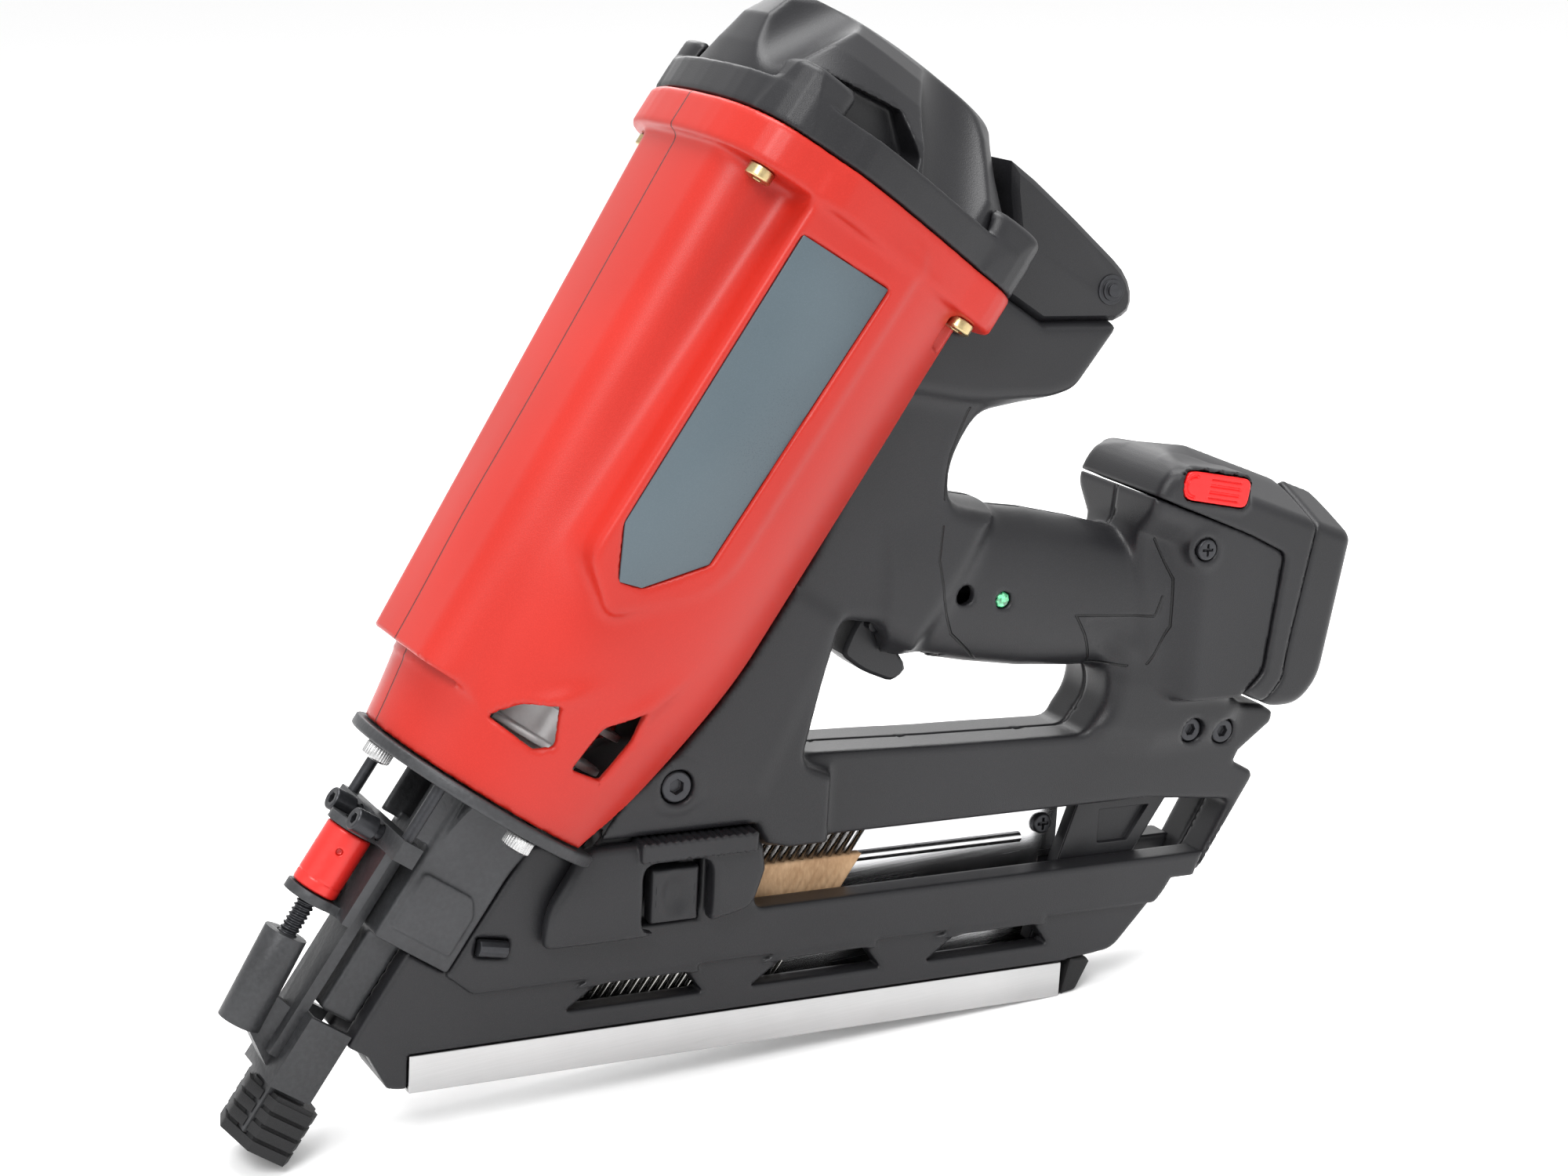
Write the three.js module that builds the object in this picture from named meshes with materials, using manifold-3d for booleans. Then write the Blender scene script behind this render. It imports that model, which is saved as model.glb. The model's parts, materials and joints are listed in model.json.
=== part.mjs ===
// A cordless gas framing nailer for paper-collated nails: fuel-cell combustion drive, battery ignition.
// Millimetres, +Z up. The drive frame has its origin at the nose tip: x runs back to the handle, z up the
// drive axis and y across the tool. The magazine frame shares that origin, with x along the magazine.
import * as THREE from "three";
import { mergeVertices } from "three/addons/utils/BufferGeometryUtils.js";
import Module from "manifold-3d";

const wasm = await Module();
wasm.setup();

// ---- Driving sizes ----
const GAP = 0.35; // between neighbouring pieces that don't move
const RUNNING = 0.6; // around pieces that move
const MAGAZINE_RISE = 33; // magazine line above the square to the drive axis, degrees

const BARREL_R = 50; // motor housing, outside
const RIM_R = 39.5; // lower rim of the housing
const HOUSING_WALL = 3;
const RIM_W = 126.5; // height of the housing's lower rim along the drive axis
const FLANGE_LOW_W = 321;
const FLANGE_TOP_W = 334;
const DUCT_HALF = 34; // half the width of the front air duct
const DUCT_FRONT = 58; // how far the duct stands forward at the flange
const DUCT_MOUTH_W = 150.5;
const DUCT_TAPER = 9.5; // how much less far the duct stands forward at its mouth
const BASE_HEIGHT = 11; // black ring over the flange
const DOME_HEIGHT = 35.5;

const BORE_R = 19; // cylinder bore
const CYLINDER_WALL = 3.5;
const CYLINDER_TOP_W = 228;
const FIN_R = 29.5;
const SLEEVE_R = 36; // combustion chamber sleeve, outside
const SLEEVE_WALL = 3;
const SLEEVE_LOW_W = 207;
const SLEEVE_LENGTH = 77;
const PROBE_TRAVEL = 17; // how far the work contact is pushed in
const DEPTH_TRAVEL = 3; // depth of drive adjustment each way
const PISTON_HEIGHT = 12;
const BUMPER_HEIGHT = 9;
const CHANNEL_R = 4.6; // drive channel in the nose
const NOSE_TOP_W = 122;
const NOSE_DISC_R = 42;
const DISC_THICK = 3.8;

const NECK_HALF = 25; // half widths of the frame's parts
const LOWER_HALF = 21;
const BEAM_HALF = 13.5;
const COLUMN_HALF = 15.5;
const HANDLE_HALF = 17.5;
const HOLDER_HALF = 23.5;
const SHELL_WALL = 3;
const CELL_R = 14; // gas cell
const CELL_LENGTH = 86;
const CELL_X = 56;
const CELL_LOW_W = 243;

const MAGAZINE_HALF = 15.5;
const SKIRT_HALF = 13; // narrower lower half of the magazine
const CHANNEL_HALF = 5.4; // nail channel, half width
const CHANNEL_FLOOR = 24;
const REAR_FLOOR = 33; // channel floor behind the rail
const TRACK_TOP = 95; // top of the nail-head track under the beam
const SLOT_LOW = 62.5; // loading slot in the magazine frame
const SLOT_HIGH = 83.3;
const TOP_LINE = 92; // joint between the magazine and the frame ahead of the slot
const RAIL_LOW = 16.2;
const RAIL_HIGH = 28.2;
const RAIL_FRONT = 40.5;
const RAIL_REAR = 272;
const RAIL_WALL = 1.3;
const NAIL_R = 1.45;
const NAIL_PITCH = 3.4;
const NAIL_COUNT = 14;
const BATTERY_HALF = 25;

const ROUND = 24; // sides of a large turned piece
const SMALL = 10; // sides of a small turned piece
const CURVE_STEPS = 2;
const MERGE = 1e-4;
const FAR = 400; // longer than the tool, for cutting blocks

const rad = THREE.MathUtils.degToRad;

// ---- Solids ----
// Corners and faces as a solid that can be joined and cut, with its faces turned outwards.
function solidFrom(points, faces) {
  const vertProperties = new Float32Array(points.flat());
  const make = (order) =>
    new wasm.Manifold(new wasm.Mesh({ numProp: 3, vertProperties, triVerts: new Uint32Array(order) }));
  const solid = make(faces);
  return solid.volume() < 0 ? make([...faces].reverse()) : solid;
}

// A closed three.js geometry as a solid.
function toSolid(geometry) {
  const bare = geometry.clone();
  bare.deleteAttribute("normal");
  bare.deleteAttribute("uv");
  const merged = mergeVertices(bare, MERGE);
  const corners = merged.index.array;
  const faces = [];
  for (let i = 0; i < corners.length; i += 3) {
    const [a, b, c] = [corners[i], corners[i + 1], corners[i + 2]];
    if (a !== b && b !== c && a !== c) faces.push(a, b, c);
  }
  return solidFrom([...merged.attributes.position.array], faces);
}

function toGeometry(solid) {
  const mesh = solid.getMesh();
  const indexed = new THREE.BufferGeometry();
  indexed.setAttribute("position", new THREE.BufferAttribute(mesh.vertProperties, mesh.numProp));
  indexed.setIndex(new THREE.BufferAttribute(mesh.triVerts, 1));
  const geometry = indexed.toNonIndexed();
  geometry.computeVertexNormals();
  return geometry;
}

const joined = (...solids) => solids.reduce((a, b) => a.add(b));
const cut = (solid, ...tools) => tools.reduce((a, b) => a.subtract(b), solid);

// A flat outline from corners [x, z, rounding], each rounding measured back along the sides.
function outline(corners) {
  const shape = new THREE.Shape();
  const at = ([x, z]) => new THREE.Vector2(x, z);
  corners.forEach((corner, i) => {
    const here = at(corner);
    const towards = (other) => {
      const side = at(other).sub(here);
      return side.setLength(Math.min(corner[2] ?? 0, side.length() * 0.45));
    };
    const before = towards(corners[(i + corners.length - 1) % corners.length]);
    const after = towards(corners[(i + 1) % corners.length]);
    const [start, end] = [here.clone().add(before), here.clone().add(after)];
    if (i === 0) shape.moveTo(start.x, start.y);
    else shape.lineTo(start.x, start.y);
    if (corner[2]) shape.quadraticCurveTo(here.x, here.y, end.x, end.y);
  });
  shape.closePath();
  return shape;
}

// The points of an outline moved inwards along the bisector at each one.
function drawnIn(points, inset) {
  const count = points.length;
  return points.map((here, i) => {
    const before = here.clone().sub(points[(i + count - 1) % count]).normalize();
    const after = points[(i + 1) % count].clone().sub(here).normalize();
    const inwards = new THREE.Vector2(-before.y - after.y, before.x + after.x);
    const spread = Math.max(inwards.lengthSq() / 2, 0.4);
    return here.clone().addScaledVector(inwards, inset / spread);
  });
}

// An outline in x and z carried across the tool from y = low to y = high, with an edge chamfer.
function plate(corners, low, high, chamfer = 0) {
  const raw = outline(corners).getPoints(CURVE_STEPS);
  const apart = raw.filter((p, i) => p.distanceTo(raw[(i + 1) % raw.length]) > 0.05);
  const full = THREE.ShapeUtils.isClockWise(apart) ? apart.reverse() : apart;
  const narrow = drawnIn(full, chamfer);
  const levels = chamfer
    ? [[narrow, low], [full, low + chamfer], [full, high - chamfer], [narrow, high]]
    : [[full, low], [full, high]];
  const points = levels.flatMap(([row, y]) => row.map((p) => [p.x, y, p.y]));
  const count = full.length;
  const faces = [];
  for (const [a, b, c] of THREE.ShapeUtils.triangulateShape(full, [])) {
    const top = points.length - count;
    faces.push(a, b, c, top + a, top + c, top + b);
  }
  for (let k = 0; k < levels.length - 1; k++) {
    for (let i = 0; i < count; i++) {
      const [a, b] = [k * count + i, k * count + ((i + 1) % count)];
      faces.push(a, a + count, b, b, a + count, b + count);
    }
  }
  return solidFrom(points, faces);
}

const slab = (corners, half, chamfer = 0) => plate(corners, -half, half, chamfer);

function block([x0, x1], [y0, y1], [z0, z1]) {
  const geometry = new THREE.BoxGeometry(x1 - x0, y1 - y0, z1 - z0);
  geometry.translate((x0 + x1) / 2, (y0 + y1) / 2, (z0 + z1) / 2);
  return toSolid(geometry);
}

// A profile of [radius, height] pairs turned about the vertical through x, y.
function turned(profile, x = 0, y = 0, sides = ROUND) {
  const points = profile.map(([r, z]) => new THREE.Vector2(r, z));
  const geometry = new THREE.LatheGeometry([...points, points[0].clone()], sides);
  geometry.rotateX(Math.PI / 2);
  geometry.translate(x, y, 0);
  return toSolid(geometry);
}

const disc = (radius, low, high, x = 0, y = 0, sides = ROUND) =>
  turned([[0, low], [radius, low], [radius, high], [0, high]], x, y, sides);

const ring = (inner, outer, low, high, x = 0, y = 0, sides = ROUND) =>
  turned([[inner, low], [outer, low], [outer, high], [inner, high]], x, y, sides);

// A round bar from one point to another.
function bar(from, to, radius, sides = SMALL) {
  const start = new THREE.Vector3(...from);
  const span = new THREE.Vector3(...to).sub(start);
  const geometry = new THREE.CylinderGeometry(radius, radius, span.length(), sides);
  geometry.translate(0, span.length() / 2, 0);
  const up = new THREE.Vector3(0, 1, 0);
  geometry.applyQuaternion(new THREE.Quaternion().setFromUnitVectors(up, span.clone().normalize()));
  geometry.translate(start.x, start.y, start.z);
  return toSolid(geometry);
}

// A skin through closed rings of points with equal counts, with a flat fan over each end.
function loft(rings) {
  const count = rings[0].length;
  const points = rings.flat();
  const middle = (row) => row.reduce((sum, p) => sum.map((v, k) => v + p[k] / count), [0, 0, 0]);
  const low = points.push(middle(rings[0])) - 1;
  const high = points.push(middle(rings.at(-1))) - 1;
  const faces = [];
  for (let i = 0; i < count; i++) {
    const j = (i + 1) % count;
    faces.push(low, j, i);
    faces.push(high, low - count + i, low - count + j);
    for (let k = 0; k < rings.length - 1; k++) {
      const [a, b] = [k * count + i, k * count + j];
      faces.push(a, b, b + count);
      faces.push(a, b + count, a + count);
    }
  }
  return solidFrom(points, faces);
}

// ---- The two frames ----
const [RISE_COS, RISE_SIN] = [Math.cos(rad(MAGAZINE_RISE)), Math.sin(rad(MAGAZINE_RISE))];
const NOSE_X = 4.5; // the magazine frame's origin lies this far behind the drive axis

// A point of the drive frame in the magazine frame, and back.
const toMagazine = (x, z, rounding) => [
  (x - NOSE_X) * RISE_COS + z * RISE_SIN,
  z * RISE_COS - (x - NOSE_X) * RISE_SIN,
  rounding,
];
const toDrive = (m, n, rounding) => [
  NOSE_X + m * RISE_COS - n * RISE_SIN,
  m * RISE_SIN + n * RISE_COS,
  rounding,
];

// ---- Motor housing ----
// The barrel's radius at a height: full beside the label, drawn in to the lower rim.
function barrelRadius(w) {
  const swell = THREE.MathUtils.smoothstep(w, RIM_W - 22, RIM_W + 78);
  const start = THREE.MathUtils.smoothstep(RIM_W, RIM_W - 22, RIM_W + 78);
  return RIM_R + ((BARREL_R - RIM_R) * (swell - start)) / (1 - start);
}

const BARREL_STEPS = [0, 14, 30, 50, 78, FLANGE_LOW_W - RIM_W + 1];

function barrel(grow, extra = 0) {
  const heights = BARREL_STEPS.map((step) => RIM_W + step);
  const profile = heights.map((w) => [barrelRadius(w) + grow, w]);
  profile[0][1] -= extra;
  return turned([[0, profile[0][1]], ...profile, [0, profile.at(-1)[1]]]);
}

function ductFront(w) {
  return DUCT_FRONT - (DUCT_TAPER * (FLANGE_LOW_W - w)) / (FLANGE_LOW_W - DUCT_MOUTH_W);
}

// The front duct as a rounded box that tapers to its mouth.
function duct(grow, low, high) {
  const half = DUCT_HALF + grow;
  const round = 13;
  const section = (w) => {
    const front = -ductFront(w) - grow;
    const corner = [0, 22.5, 45, 67.5, 90].map((a) => [
      front + round - round * Math.cos(rad(a)),
      half - round + round * Math.sin(rad(a)),
    ]);
    const side = [...corner, [0, half]];
    const other = side.map(([x, y]) => [x, -y]).reverse();
    return [...side, ...other].map(([x, y]) => [x, y, w]);
  };
  return loft([section(low), section(high)]);
}

const LABEL_FRONT = -31;
const LABEL_REAR = 2;
const LABEL_LOW_W = 199;
const LABEL_HIGH_W = 313;

// The raised flat on each side that carries the label.
function labelPads(grow) {
  const corners = (edge) => [
    [LABEL_FRONT - 2.5 - edge, LABEL_HIGH_W + 8],
    [LABEL_REAR + 6 + edge, LABEL_HIGH_W + 8],
    [LABEL_REAR + 6 + edge, LABEL_LOW_W + 14],
    [LABEL_FRONT + 13, LABEL_LOW_W - 10 - edge],
    [LABEL_FRONT - 2.5 - edge, LABEL_LOW_W + 2 - edge],
  ];
  return slab(corners(grow), BARREL_R + grow, 0);
}

const FLANGE_HALF = [
  [-62, 0], [-61, 22], [-57.5, 36], [-52, 44], [-44, 48], [-35, 50], [-27, 53.5], [-12, 53], [2, 51],
  [16, 49], [27, 46.5], [37, 46], [44, 42.5], [47, 36], [46, 27], [44, 16], [43.5, 0],
];

// The flange's outline, drawn in by an inset, between two heights.
function flangePlate(inset, low, high) {
  const shrink = ([x, y]) => {
    const size = Math.hypot(x, y);
    return [(x * (size - inset)) / size, (y * (size - inset)) / size];
  };
  const half = FLANGE_HALF.map(shrink);
  const other = half.slice(1, -1).map(([x, y]) => [x, -y]).reverse();
  const section = (w) => [...half, ...other].map(([x, y]) => [x, y, w]);
  return loft([section(low), section(high)]);
}

const REAR_EDGE = [
  [40, FLANGE_LOW_W + 5], [40.2, 297], [42, 282], [43, 268], [45.5, 245, 6], [48.4, 218, 6], [49.5, 194, 8],
  [41.6, 167, 6], [35.3, 148, 4], [25.3, 130, 4], [20, RIM_W - 12],
];

// Everything behind the housing's rear edge, which the frame fills; back moves the edge backwards.
function behindHousing(back) {
  const edge = REAR_EDGE.map(([x, w, r]) => [x + back, w, r]);
  return slab([[FAR, FLANGE_LOW_W + 5], ...edge, [FAR, RIM_W - 12]], FAR);
}

const CAP_SCREWS = [[-47, -38], [-47, 38], [36, -37.5], [36, 37.5]];
const CAP_SCREW_R = 2.4;
const HEAD_R = 4.2;

function motorHousing() {
  const flange = flangePlate(0, FLANGE_LOW_W, FLANGE_TOP_W);
  const barrelOuter = joined(barrel(0), labelPads(0), duct(0, DUCT_MOUTH_W, FLANGE_LOW_W + 1));
  const hollow = joined(
    barrel(-HOUSING_WALL, 2),
    disc(BARREL_R - HOUSING_WALL, FLANGE_LOW_W - 4, FLANGE_TOP_W + 1),
    duct(-HOUSING_WALL, DUCT_MOUTH_W + 3, FLANGE_LOW_W - 3),
    block([-DUCT_FRONT + 12, -30], [-24, 24], [DUCT_MOUTH_W - 4, FLANGE_LOW_W - 3]),
  );
  const mouth = duct(-HOUSING_WALL, DUCT_MOUTH_W - 1, DUCT_MOUTH_W + 10);
  const mouthOnly = cut(mouth, barrel(0));
  const vents = joined(
    slab([[-26, 147], [-21.5, 155], [-12.5, 160.5], [-6.5, 149.5], [-11, 145.5]], FAR),
    slab([[2, 146], [2, 161], [11, 171.5], [14, 162], [13, 147.5]], FAR),
  );
  const holes = CAP_SCREWS.map(([x, y]) => disc(CAP_SCREW_R + GAP, FLANGE_LOW_W - 1, FLANGE_TOP_W + 1, x,
    y, SMALL));
  const heads = CAP_SCREWS.map(([x, y]) => disc(HEAD_R + GAP, FLANGE_LOW_W - 9, FLANGE_LOW_W, x, y, SMALL));
  const body = cut(barrelOuter, behindHousing(0), ...heads);
  return cut(joined(body, flange), hollow, mouthOnly, vents, labelRecess(), ...holes);
}

const LABEL_CORNERS = [
  [LABEL_FRONT, LABEL_HIGH_W - 2], [LABEL_REAR + 0.5, LABEL_HIGH_W], [LABEL_REAR - 1.5, LABEL_LOW_W + 18],
  [LABEL_FRONT + 17, LABEL_LOW_W + 2], [LABEL_FRONT + 9, LABEL_LOW_W], [LABEL_FRONT + 0.5, LABEL_LOW_W + 15],
];
const LABEL_THICK = 1;

function labelRecess() {
  const low = BARREL_R - LABEL_THICK - GAP;
  return joined(plate(LABEL_CORNERS, low, FAR), plate(LABEL_CORNERS, -FAR, -low));
}

function housingLabel(side) {
  const inset = LABEL_CORNERS.map(([x, w]) => [x < -14 ? x + GAP : x - GAP, w < 250 ? w + GAP : w - GAP]);
  const [low, high] = [BARREL_R - LABEL_THICK, BARREL_R - 0.1];
  return side > 0 ? plate(inset, low, high) : plate(inset, -high, -low);
}

// ---- Cap ----
const BASE_LOW_W = FLANGE_TOP_W + GAP;
const BASE_TOP_W = BASE_LOW_W + BASE_HEIGHT;
const BASE_BORE = 41;
const LOBE_R = 9;
const LOBE_RISE = 7;

function capBase() {
  const lobes = CAP_SCREWS.map(([x, y]) => disc(LOBE_R, BASE_LOW_W, BASE_TOP_W + LOBE_RISE, x, y, SMALL));
  const plateBody = flangePlate(1, BASE_LOW_W, BASE_TOP_W);
  const inLobes = joined(...lobes).intersect(flangePlate(1, BASE_LOW_W, BASE_TOP_W + LOBE_RISE));
  const screwHoles = CAP_SCREWS.map(([x, y]) =>
    disc(CAP_SCREW_R + GAP, BASE_LOW_W - 1, BASE_LOW_W + 10, x, y, SMALL));
  return cut(joined(plateBody, inLobes), disc(BASE_BORE, BASE_LOW_W - 1, BASE_TOP_W + 20), dome(GAP),
    ...screwHoles);
}

// The dome's rings: height over the base, front, rear and half width.
const DOME_RINGS = [
  [0, -59, 46, 46], [8, -59, 43.5, 43.5], [18, -58, 34.5, 36], [26, -54, 29.5, 28], [31, -46, 28, 20],
  [DOME_HEIGHT, -18, 25, 9],
];

// The cap's dome, grown by an amount, or hollowed when it is negative.
function dome(grow) {
  const sides = 28;
  const section = ([rise, front, rear, half]) =>
    Array.from({ length: sides }, (_, i) => {
      const a = (2 * Math.PI * i) / sides;
      const squared = 0.75;
      const power = (v) => Math.sign(v) * Math.abs(v) ** squared;
      const x = (front + rear) / 2 + ((rear - front) / 2 + grow) * power(Math.cos(a));
      return [x, (half + grow) * power(Math.sin(a)), BASE_TOP_W + GAP + rise + Math.min(grow, 0)];
    });
  const rings = DOME_RINGS.map(section);
  if (grow < 0) rings[0] = rings[0].map(([x, y, z]) => [x, y, z - 2 * HOUSING_WALL]);
  return loft(rings);
}

const topCap = () => cut(dome(0), dome(-HOUSING_WALL));

function capScrew([x, y]) {
  const head = disc(HEAD_R, FLANGE_LOW_W - GAP - 3.4, FLANGE_LOW_W - GAP, x, y, SMALL);
  const shank = disc(CAP_SCREW_R, FLANGE_LOW_W - 1, BASE_LOW_W + 9, x, y, SMALL);
  const socket = disc(2, FLANGE_LOW_W - 5, FLANGE_LOW_W - 2, x, y, 6);
  return cut(joined(head, shank), socket);
}

const FILTER_BORE = 19;
const airFilter = () => ring(FILTER_BORE, BASE_BORE - 1, BASE_LOW_W + 0.5, BASE_TOP_W - 3);

// ---- Combustion motor ----
const HEAD_LOW_W = 288;
const HEAD_PLUG_R = SLEEVE_R - SLEEVE_WALL - RUNNING;
const HEAD_FLANGE_R = 40;
const MOTOR_R = 13;
const MOTOR_LOW_W = 302;
const SPARK_X = 21;
const SHAFT_R = 1.5;

function cylinderHead() {
  const outer = HEAD_PLUG_R;
  const body = turned([
    [SHAFT_R + RUNNING, HEAD_LOW_W], [outer, HEAD_LOW_W], [outer, 305], [HEAD_FLANGE_R, 305],
    [HEAD_FLANGE_R, 309], [18, 309], [18, 324], [MOTOR_R + GAP, 324], [MOTOR_R + GAP, 301.5],
    [SHAFT_R + RUNNING, 301.5],
  ]);
  return cut(body, disc(3 + GAP, HEAD_LOW_W - 1, 330, SPARK_X, 0, SMALL));
}

const fanMotor = () =>
  ring(SHAFT_R + RUNNING, MOTOR_R, MOTOR_LOW_W, MOTOR_LOW_W + 27, 0, 0, 20);

function sparkPlug() {
  const insulator = disc(3, HEAD_LOW_W - 2, 314, SPARK_X, 0, SMALL);
  const electrode = disc(0.9, HEAD_LOW_W - 3.2, HEAD_LOW_W, SPARK_X, 0, 8);
  return joined(insulator, electrode);
}

const FAN_R = 26;

function fan() {
  const hub = disc(7, 277, 284, 0, 0, 16);
  const shaft = disc(SHAFT_R, 283, MOTOR_LOW_W + 20, 0, 0, 10);
  const blade = (i) => {
    const geometry = new THREE.BoxGeometry(FAN_R - 5, 1.4, 7);
    geometry.rotateX(rad(35));
    geometry.translate(5 + (FAN_R - 5) / 2, 0, 280.5);
    geometry.rotateZ(rad(72 * i));
    return toSolid(geometry);
  };
  return joined(hub, shaft, ...[0, 1, 2, 3, 4].map(blade));
}

function cylinder() {
  const wall = BORE_R + CYLINDER_WALL;
  const fins = [0, 1, 2, 3].flatMap((i) => {
    const low = RIM_W + 8 + 12 * i;
    return [[wall, low], [FIN_R, low], [FIN_R, low + 2.2], [wall, low + 2.2]];
  });
  return turned([
    [9, RIM_W], [wall + 4, RIM_W], [wall + 4, RIM_W + 3], [wall, RIM_W + 3], ...fins,
    [wall, CYLINDER_TOP_W], [BORE_R, CYLINDER_TOP_W], [BORE_R, RIM_W + 3.5], [9, RIM_W + 3.5],
  ]);
}

const BUMPER_LOW_W = RIM_W + 3.5 + GAP;
const bumper = () => ring(7, BORE_R - GAP, BUMPER_LOW_W, BUMPER_LOW_W + BUMPER_HEIGHT);

const PISTON_LOW_W = CYLINDER_TOP_W - PISTON_HEIGHT - 2;
const PISTON_R = BORE_R - 0.2;
const BLADE_LOW_W = 92;

const piston = () => disc(PISTON_R, PISTON_LOW_W, PISTON_LOW_W + PISTON_HEIGHT);
const driverBlade = () => block([-2.9, 2.9], [-1.6, 1.6], [BLADE_LOW_W, PISTON_LOW_W - GAP]);

function chamberSleeve() {
  const inner = SLEEVE_R - SLEEVE_WALL;
  const lip = BORE_R + CYLINDER_WALL + RUNNING;
  return turned([
    [lip, SLEEVE_LOW_W], [SLEEVE_R, SLEEVE_LOW_W], [SLEEVE_R, SLEEVE_LOW_W + SLEEVE_LENGTH],
    [inner, SLEEVE_LOW_W + SLEEVE_LENGTH], [inner, SLEEVE_LOW_W + 3], [lip, SLEEVE_LOW_W + 3],
  ]);
}

// ---- Nose ----
const ROD_X = -22;
const ROD_Y = 24;
const ROD_R = 2;
const CAST_FRONT = -10.2;
const CAST_REAR = 17.6;
const CAST_HALF = 16;
const NOSE_BAR_W = 46;
const NOSE_BAR_HALF = 8.7;
const GUIDE_LOW_W = 73.4;

function noseCasting() {
  const flange = disc(NOSE_DISC_R, NOSE_TOP_W, NOSE_TOP_W + DISC_THICK);
  const body = block([CAST_FRONT, CAST_REAR], [-CAST_HALF, CAST_HALF], [GUIDE_LOW_W, NOSE_TOP_W + 1]);
  const barLow = block([-NOSE_BAR_HALF, 3.4], [-NOSE_BAR_HALF, NOSE_BAR_HALF], [NOSE_BAR_W, GUIDE_LOW_W + 1]);
  const ribs = [-14.5, 12].map((y) => block([-16.2, CAST_FRONT + 1], [y, y + 2.5], [104, NOSE_TOP_W + 1]));
  const gussets = [-1, 1].map((side) =>
    plate([[-8, 104], [16, 104], [16, NOSE_TOP_W + 1], [-8, NOSE_TOP_W + 1]],
      side > 0 ? CAST_HALF - 1 : -CAST_HALF - 6, side > 0 ? CAST_HALF + 6 : -CAST_HALF + 1));
  const channel = disc(CHANNEL_R, NOSE_BAR_W - 1, NOSE_TOP_W + 9, 0, 0, 16);
  const nailWay = block([0, CAST_REAR + 1], [-1.9, 1.9], [NOSE_BAR_W - 1, 118]);
  const rodHoles = [-1, 1].map((side) =>
    disc(ROD_R + RUNNING, NOSE_TOP_W - 1, NOSE_TOP_W + 9, ROD_X, side * ROD_Y, SMALL));
  const screwHoles = NOSE_SCREWS.map(([x, y]) => disc(2.3, NOSE_TOP_W - 1, NOSE_TOP_W + 9, x, y, SMALL));
  return cut(joined(flange, body, barLow, ...ribs, ...gussets), channel, nailWay, ...rodHoles, ...screwHoles);
}

// What the magazine and the frame keep clear of: nose, housing rim and the tip's way up.
function noseEnvelope() {
  const tipTop = TIP_TOP_W + PROBE_TRAVEL + DEPTH_TRAVEL + RUNNING;
  return joined(
    block([-30, TIP.rear + RUNNING], [-CAST_HALF - 7, CAST_HALF + 7], [-1, tipTop]),
    block([-30, PROBE_REAR + RUNNING], [-CAST_HALF - 7, CAST_HALF + 7], [tipTop - 1, NOSE_TOP_W]),
    block([-30, CAST_REAR + GAP], [-CAST_HALF - 7, CAST_HALF + 7], [GUIDE_LOW_W - GAP, NOSE_TOP_W + 1]),
    disc(NOSE_DISC_R + GAP, NOSE_TOP_W - GAP, RIM_W + 1),
    barrel(GAP + 0.15, 1),
  );
}

const NOSE_SCREWS = [[-34, -1.5], [4, -34]];

function noseScrew([x, y]) {
  const head = disc(4.6, NOSE_TOP_W - GAP - 4.5, NOSE_TOP_W - GAP, x, y, SMALL);
  return joined(head, disc(2, NOSE_TOP_W - 1, NOSE_TOP_W + DISC_THICK, x, y, SMALL));
}

// ---- Work contact: the link that lifts the sleeve, and the probe below it ----
const BARREL_X = -27.5; // depth barrel's axis
const DEPTH_BARREL_R = 7.3;
const DEPTH_LOW_W = 75;
const DEPTH_HIGH_W = 95.5;
const LINK_TOP_W = NOSE_TOP_W - PROBE_TRAVEL - 1.5;

function linkBracket() {
  const back = block([-20, -17], [-13, 13], [71.5, LINK_TOP_W]);
  const cross = block([ROD_X - 2.5, ROD_X + 4.5], [-ROD_Y - 4, ROD_Y + 4], [97, LINK_TOP_W]);
  const lug = (low, high) =>
    joined(disc(8.2, low, high, BARREL_X, 0, 20), block([BARREL_X, -18], [-7, 7], [low, high]));
  const body = joined(back, cross, lug(DEPTH_LOW_W - GAP - 3, DEPTH_LOW_W - GAP), lug(DEPTH_HIGH_W + GAP,
    98.6));
  const screwHoles = BRACKET_SCREWS.flatMap((y) => [
    bar([-40, y, SCREW_W], [-12, y, SCREW_W], 2.7),
    bar([-40, y, SCREW_W], [-26.5, y, SCREW_W], BRACKET_HEAD_R + GAP),
  ]);
  const bore = disc(3 + RUNNING, 60, 110, BARREL_X, 0, SMALL);
  const rodSeats = [-1, 1].map((side) => disc(ROD_R + 0.05, 99.9, 110, ROD_X, side * ROD_Y, SMALL));
  return cut(body, bore, ...screwHoles, ...rodSeats);
}

const BRACKET_SCREWS = [-11.5, 8.5];
const BRACKET_HEAD_R = 3.6;
const SCREW_W = 100.3;

function bracketScrew(y) {
  const head = bar([-34.5, y, SCREW_W], [-27, y, SCREW_W], BRACKET_HEAD_R);
  const shank = bar([-28, y, SCREW_W], [-17.3, y, SCREW_W], 2.3);
  return cut(joined(head, shank), bar([-36, y, SCREW_W], [-32, y, SCREW_W], 1.9, 6));
}

const liftRod = (side) => disc(ROD_R - 0.1, 100, SLEEVE_LOW_W - GAP, ROD_X, side * ROD_Y, 10);

const PROBE_FRONT = -11.5;
const PROBE_REAR = 3.3;
const PROBE_HALF = 12.5;
const PROBE_TOP_W = 43;
const TIP_TOP_W = 19;
const BOSS_LOW = [-25, 30];
const BOSS_HIGH = [BARREL_X, 60];

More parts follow.
